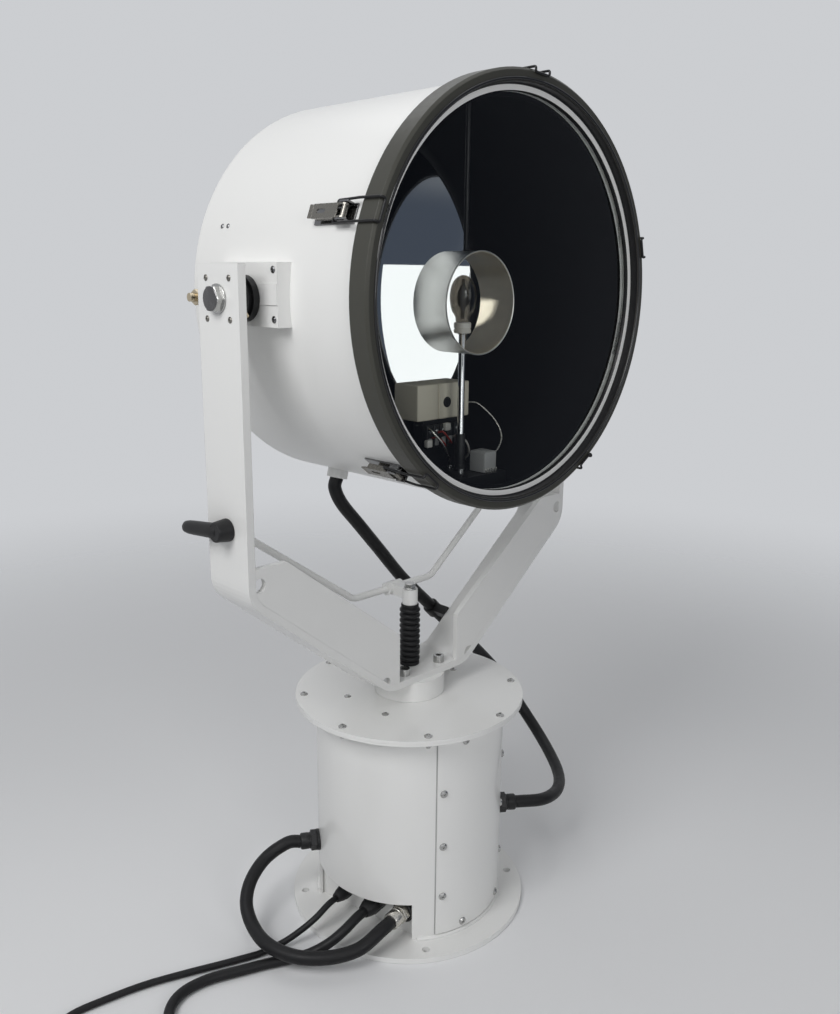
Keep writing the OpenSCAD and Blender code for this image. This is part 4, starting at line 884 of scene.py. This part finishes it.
def spill_ring():
    """A satin ring with a polished lining and a rolled front edge, hung from a strut."""
    back, front, middle = LAMP_U - 25.5, LAMP_U + 31.5, house(up=SPILL_UP)
    outer = lathe("spill_shell", [(62.3, back), (63, back), (63, front - 2.4), (63.5, front - 1.8),
                                  (63.7, front - 0.9), (63.4, front - 0.2), (62.9, front),
                                  (62.3, front - 0.6)], middle, 128, 40, True)
    lining = lathe("spill_lining", [(61.6, back + 0.4), (62.2, back + 0.4), (62.2, front - 0.8),
                                    (61.6, front - 0.8)], middle, 128, 40, True)
    strut = lathe("spill_shell", [(5, 0), (5, 1), (3.6, 1.8), (3, 3), (3, 184), (3.6, 185.4), (6, 186.4),
                                  (6, 187.2)], at(0, -LAMP_U - 3, AXIS_H + 56), 28)
    assemble("spill_shell", "satin_aluminium", "lamp_house", [(outer, ALUMINIUM), (strut, BLACK_PAINT)],
             "spill_ring")
    place(dress(lining, POLISHED_PAINTED_REFLECTION), "satin_aluminium", "lamp_house")


def bezel_bead():
    """Black rubber in the bezel: a bead at its front edge, a channel on the white seal and a glass edge."""
    segments, sides = 192, 16
    ring = [(242.3 + 2 * math.cos(TAU * k / sides), BEZEL_FRONT - 0.2 + 2 * math.sin(TAU * k / sides))
            for k in range(sides)]
    bead = lathe("bezel_bead", ring, house(), segments, 60, True)
    on_seal = [(SEAL_OUT - 0.1, BEZEL_FRONT - 0.6), (SEAL_OUT - 0.8, BEZEL_FRONT - 0.6),
               (SEAL_OUT - 1.1, SEAL_FRONT + 1.2), (SEAL_OUT - 2.0, SEAL_FRONT + 0.7),
               (SEAL_OUT - 2.9, SEAL_FRONT + 0.5), (SEAL_OUT - 3.0, SEAL_FRONT + 0.1),
               (SEAL_OUT - 0.1, SEAL_FRONT + 0.1)]
    on_glass = [(SEAL_IN - 0.1, SEAL_FRONT - 0.4), (SEAL_IN - 0.5, SEAL_FRONT - 0.9),
                (SEAL_IN - 0.5, GLASS_FRONT + 0.1), (SEAL_IN - 0.1, GLASS_FRONT + 0.1)]
    channel, edge = (lathe("bezel_bead", line, house(), segments, 40, True) for line in (on_seal, on_glass))
    parts = coated(GLOSS_BLACK, bead) + coated(BLACK_PAINT, channel, edge)
    assemble("bezel_bead", "rubber_black", "lamp_house", parts)


def lamp_set():
    """The lamp's envelope, its arc tube and lead, and the stem with a ceramic base."""
    spot, bulb_r = at(0, -LAMP_U, AXIS_H), 17
    bulb = [(0.5, -30), (0.52, -28), (0.55, -24), (0.66, -20.5), (0.80, -17), (0.90, -12), (0.96, -7),
            (0.99, -2.5), (1, 2), (0.98, 6.5), (0.94, 11), (0.86, 15.8), (0.74, 20), (0.58, 23.6), (0.40, 26),
            (0.2, 27.5), (0, 28)]
    envelope = lathe("bulb", [(bulb_r * r, z) for r, z in bulb], spot, 64, 60)
    place(dress(envelope, BULB_GLASS_PAINTED_SHADE), "lamp_glass", "lamp_house", "lamp")
    arc = lathe("arc_tube", [(2.4, -26), (2.4, -16), (3.4, -13), (6.2, -9), (7.4, -2), (7.2, 5), (5.4, 10.5),
                             (3, 14), (2.2, 17), (2.2, 22), (1.2, 23.4), (0, 23.4)], spot, 40, 40)
    lead = tube("arc_tube", bent_points([(10, -LAMP_U, AXIS_H - 27), (11.5, -LAMP_U, AXIS_H + 8),
                                         (5, -LAMP_U, AXIS_H + 22), (0, -LAMP_U, AXIS_H + 23)], 3), 0.7, 10)
    assemble("arc_tube", "chrome", "lamp_house", [(arc, QUARTZ), (lead, CHROME)])
    post = lathe("lamp_stem", [(8, -222), (8, -219), (5.4, -218), (4.5, -216.5), (4.5, -46), (6, -45),
                               (6, -44)], spot, 40)
    base = lathe("lamp_stem", [(9.6, -44), (10.7, -43.4), (11, -42), (11, -39.4), (10.2, -38.8),
                               (10.2, -37.8), (11, -37.2), (11, -31.6), (10.2, -30.4), (8.6, -30)],
                 spot, 48, 30)
    sleeve = lathe("lamp_stem", [(7.4, -221.8), (7.4, -214), (6.6, -213), (6.6, -174), (6, -173),
                                 (4.6, -173)], spot, 36)
    assemble("lamp_stem", "chrome", "lamp_house", [(post, CHROME), (base, CERAMIC), (sleeve, BLACK_PLASTIC)],
             "lamp_post")


def ignitor():
    """The cream case in two halves with a collar in front, the terminals under it and a small grey cover."""
    parts = [(rounded_box("ignitor_case", (-49, -61.3, 736), (-9.6, -17.3, 783), 2), CREAM),
             (rounded_box("ignitor_case", (-8.8, -61.3, 736), (49, -17.3, 783), 2), CREAM),
             (rounded_box("ignitor_case", (-10, -58, 739), (-8.4, -20, 780), 0.4), BLACK_PLASTIC)]
    collar = lathe("ignitor_case", [(7, 0), (7, 0.9), (6.4, 1.3), (5, 1.3), (4.6, 0.6), (0, 0.6)],
                   at(5.6, -61.2, 757.7, (0, -1, 0)), 36)
    parts.append((collar, BLACK_PLASTIC))
    assemble("ignitor_case", "cream_plastic", "lamp_house", parts, "ignitor_box")
    parts = []
    for k in range(5):
        x = -39 + 12.6 * k
        parts += [(rounded_box("terminals", (x, -69, 700), (x + 11, -61.2, 731), 1.4), BLACK_PLASTIC),
                  (rounded_box("terminals", (x + 2, -70.4, 704), (x + 9, -66, 714), 1), GREY_PLASTIC),
                  (lathe("terminals", [(2.8, 0), (2.8, 0.8), (2.2, 1.5), (0, 1.7)],
                         at(x + 5.5, -69, 723, (0, -1, 0)), 20), STEEL)]
    for x, z in ((-4, 727), (-38, 708)):
        parts.append((rounded_box("terminals", (x - 5, -74, z - 5), (x + 5, -67, z + 5), 1.6), CERAMIC))
    assemble("terminals", "black_plastic", "lamp_house", parts)
    cover = rounded_box("relay_cover", (7.4, -128.6, 671), (30.6, -101.4, 698.6), 2)
    legs = [rounded_box("relay_cover", (x, -129.8, 671), (x + 2.4, -128.4, 677), 0.4)
            for x in range(9, 30, 5)]
    parts = coated(GREY_PLASTIC, cover) + coated(PALE_METAL, *legs)
    assemble("relay_cover", "grey_motor", "lamp_house", parts)


def wires():
    """The leads between the case, the terminals and the small cover, with the screw that one ends on."""
    def wire(points, paint, radius=1.3):
        return tube("lamp_wires", curve_points(points, 8), radius, 12), paint

    screw = lathe("lamp_wires", [(5, 0), (5, 1), (4, 1), (4, 2.6), (3.2, 3.6), (0, 3.8)], at(3, -70, 671), 28)
    strap = [(-36, -68, 727), (-34, -76, 722), (-22, -82, 706), (-9, -80, 688), (-2, -74, 677),
             (3, -70, 673.4)]
    arc = [(47, -61, 754), (56, -72, 752), (67, -92, 732), (66, -106, 712), (50, -114, 697), (32, -115, 690),
           (27, -115, 688)]
    red = [(-30, -68, 714), (-29, -76, 716), (-22, -80, 711), (-14, -78, 704), (-12, -69, 704)]
    red_2 = [(-18, -68, 720), (-16, -75, 722), (-9, -78, 714), (0, -76, 706), (2, -68, 706)]
    white = [(8, -68, 712), (10, -78, 714), (20, -84, 706), (30, -80, 690), (34, -66, 676), (36, -50, 672)]
    assemble("lamp_wires", "black_plastic", "lamp_house",
             [(screw, STEEL), wire(strap, PALE_METAL, 1.6), wire(arc, PALE_METAL, 1.0), wire(red, RED_WIRE),
              wire(red_2, RED_WIRE), wire(white, WHITE_WIRE)])


make_mirror()
bezel_bead()
spill_ring()
lamp_set()
ignitor()
wires()


# Latches: local X away from the barrel, local Z forward

def latch_frame(i):
    turn = Matrix.Rotation(math.radians(LATCH_FIRST + LATCH_STEP * (i - 1)), 4, "Z")
    return house() @ turn @ Matrix.Translation((BARREL_R * MM, 0, 0))


def latch_bail(i):
    """The wire from the lever's pivot forward and over the bezel."""
    half = [(7.4, 7, 126), (7.4, 12.6, 126), (10.3, 12.6, 162), (10.3, 12.6, 194.8), (4.3, 12.6, 194.8)]
    line = half + [(x, -y, z) for x, y, z in reversed(half)]
    wire = tube(f"bail_wire_{i}", bent_points(line, 2.4, 6), 1.45, 14, latch_frame(i))
    place(dress(wire, BLACK_PAINT), "black_paint", f"bail_{i}", f"latch_bail_{i}")


def latch_lever(i):
    """A pressed handle with a slot, folded cheeks, a turned-up lip and the pivot tube."""
    name, spot = f"latch_handle_{i}", latch_frame(i)
    plate, slot = rounded_outline(-8.2, 8.2, 91.6, 132, 1.5), rounded_outline(-2.3, 2.3, 99, 113, 2.2)
    top = ring_plate(name, plate, slot, 10, 11.5, spot @ TURNED)
    lip = prism(name, [(10, 92), (11.5, 92), (11.7, 90), (12, 88), (12.1, 86.6), (10.7, 86.4), (10.4, 88.4),
                       (10.1, 90.2)], -7.6, 7.6, spot @ SIDEWAYS)
    cheek = [(4.6, 96), (10.8, 96), (10.8, 131), (11.4, 136), (12, 140), (10.8, 142.8), (8, 144),
             (5.2, 142.8), (4.2, 139), (4.6, 133)]
    cheeks = [prism(name, cheek, w - 1, w + 1, spot @ SIDEWAYS) for w in (-7, 7)]
    axle = spot @ Matrix.Translation((0.008, 0, 0.14)) @ Matrix.Rotation(math.pi / 2, 4, "X")
    pivot = lathe(name, [(2.6, -8.2), (3.3, -7.6), (3.3, 7.6), (2.6, 8.2)], axle, 28)
    parts = coated(LATCH_STEEL, top, lip, *cheeks, pivot)
    assemble(name, "stainless", f"latch_{i}", parts, f"latch_lever_{i}")


for i in LATCHES:
    latch_bail(i)
    latch_lever(i)


# Floor, world and lights

BACKDROP = (0.70, 0.715, 0.74, 1)
DARK_CARD = (0.08, 0.095, 0.13, 1)
CARD_TOWARD = Vector((0.42, -1.0, -0.1)).normalized()
CARD_FADE = (0.45, 0.95)
SEEN_STRENGTH = 0.86
LIGHT_STRENGTH = 0.28
FLOOR_PAINT = (0.87, 0.875, 0.885, 1)
FLOOR_R = 9
FLOOR_FADE = (0.6, 2.8)


def make_floor():
    """A round floor that fades into the backdrop."""
    bm = bmesh.new()
    bmesh.ops.create_circle(bm, cap_ends=True, radius=FLOOR_R, segments=96)
    floor = from_bmesh("floor", bm)
    floor.location = (0, 0, -0.0004)
    material = bpy.data.materials.new("floor")
    material.use_nodes = True
    tree = material.node_tree
    shader, out = tree.nodes["Principled BSDF"], tree.nodes["Material Output"]
    shader.inputs["Base Color"].default_value = FLOOR_PAINT
    shader.inputs["Roughness"].default_value = 0.6
    clear, blend, coords, far, fade = add_nodes(
        tree, "BsdfTransparent", "MixShader", "TexCoord", "VectorMath", "MapRange")
    far.operation = "LENGTH"
    fade.interpolation_type = "SMOOTHSTEP"
    fade.inputs["From Min"].default_value, fade.inputs["From Max"].default_value = FLOOR_FADE
    connect(tree, (coords.outputs["Object"], far.inputs[0]), (far.outputs["Value"], fade.inputs["Value"]),
            (fade.outputs[0], blend.inputs[0]), (shader.outputs[0], blend.inputs[1]),
            (clear.outputs[0], blend.inputs[2]), (blend.outputs[0], out.inputs[0]))
    floor.data.materials.append(material)


def make_world():
    """A pale backdrop for the camera, metal and glass, dimmer as a light and darker before the mirror."""
    world = bpy.data.worlds.new("studio")
    world.use_nodes = True
    bpy.context.scene.world = world
    tree = world.node_tree
    light = tree.nodes["Background"]
    coords, toward, fade, mix, path = add_nodes(
        tree, "TexCoord", "VectorMath", "MapRange", "Mix", "LightPath")
    shiny, seen, unseen, shade, strength = add_nodes(tree, *["Math"] * 5)
    for node, how in ((shiny, "ADD"), (seen, "ADD"), (unseen, "SUBTRACT"), (shade, "MULTIPLY"),
                      (strength, "MULTIPLY_ADD")):
        node.operation = how
    seen.use_clamp = True
    toward.operation = "DOT_PRODUCT"
    toward.inputs[1].default_value = CARD_TOWARD
    fade.interpolation_type = "SMOOTHSTEP"
    fade.inputs["From Min"].default_value, fade.inputs["From Max"].default_value = CARD_FADE
    mix.data_type = "RGBA"
    mix.inputs[6].default_value = BACKDROP
    mix.inputs[7].default_value = DARK_CARD
    unseen.inputs[0].default_value = 1
    strength.inputs[1].default_value = SEEN_STRENGTH - LIGHT_STRENGTH
    strength.inputs[2].default_value = LIGHT_STRENGTH
    connect(tree, (path.outputs["Is Glossy Ray"], shiny.inputs[0]),
            (path.outputs["Is Transmission Ray"], shiny.inputs[1]), (shiny.outputs[0], seen.inputs[0]),
            (path.outputs["Is Camera Ray"], seen.inputs[1]), (seen.outputs[0], strength.inputs[0]),
            (path.outputs["Is Camera Ray"], unseen.inputs[1]),
            (strength.outputs[0], light.inputs["Strength"]),
            (coords.outputs["Generated"], toward.inputs[0]), (toward.outputs["Value"], fade.inputs["Value"]),
            (fade.outputs[0], shade.inputs[0]), (unseen.outputs[0], shade.inputs[1]),
            (shade.outputs[0], mix.inputs[0]), (mix.outputs[2], light.inputs["Color"]))


def softbox(name, spot, target, wide, tall, watts):
    light = bpy.data.lights.new(name, "AREA")
    light.shape = "RECTANGLE"
    light.size = wide
    light.size_y = tall
    light.energy = watts
    obj = linked(name, light)
    turn = (Vector(target) - Vector(spot)).to_track_quat("-Z", "Y")
    obj.matrix_world = Matrix.Translation(spot) @ turn.to_matrix().to_4x4()
    obj.visible_camera = False


make_floor()
make_world()
softbox("key", (-1.75, -0.35, 2.0), (0, 0, 0.95), wide=1.1, tall=1.1, watts=25)
softbox("front", (0.66, -2.37, 1.15), (0.05, 0, 0.85), wide=1.05, tall=1.15, watts=4.9)
softbox("fill", (-0.95, -2.3, 1.3), (0, 0, 0.85), wide=0.8, tall=0.8, watts=9)
softbox("top", (0.5, 0.6, 3.0), (0, 0, 0.6), wide=1.8, tall=1.8, watts=13)
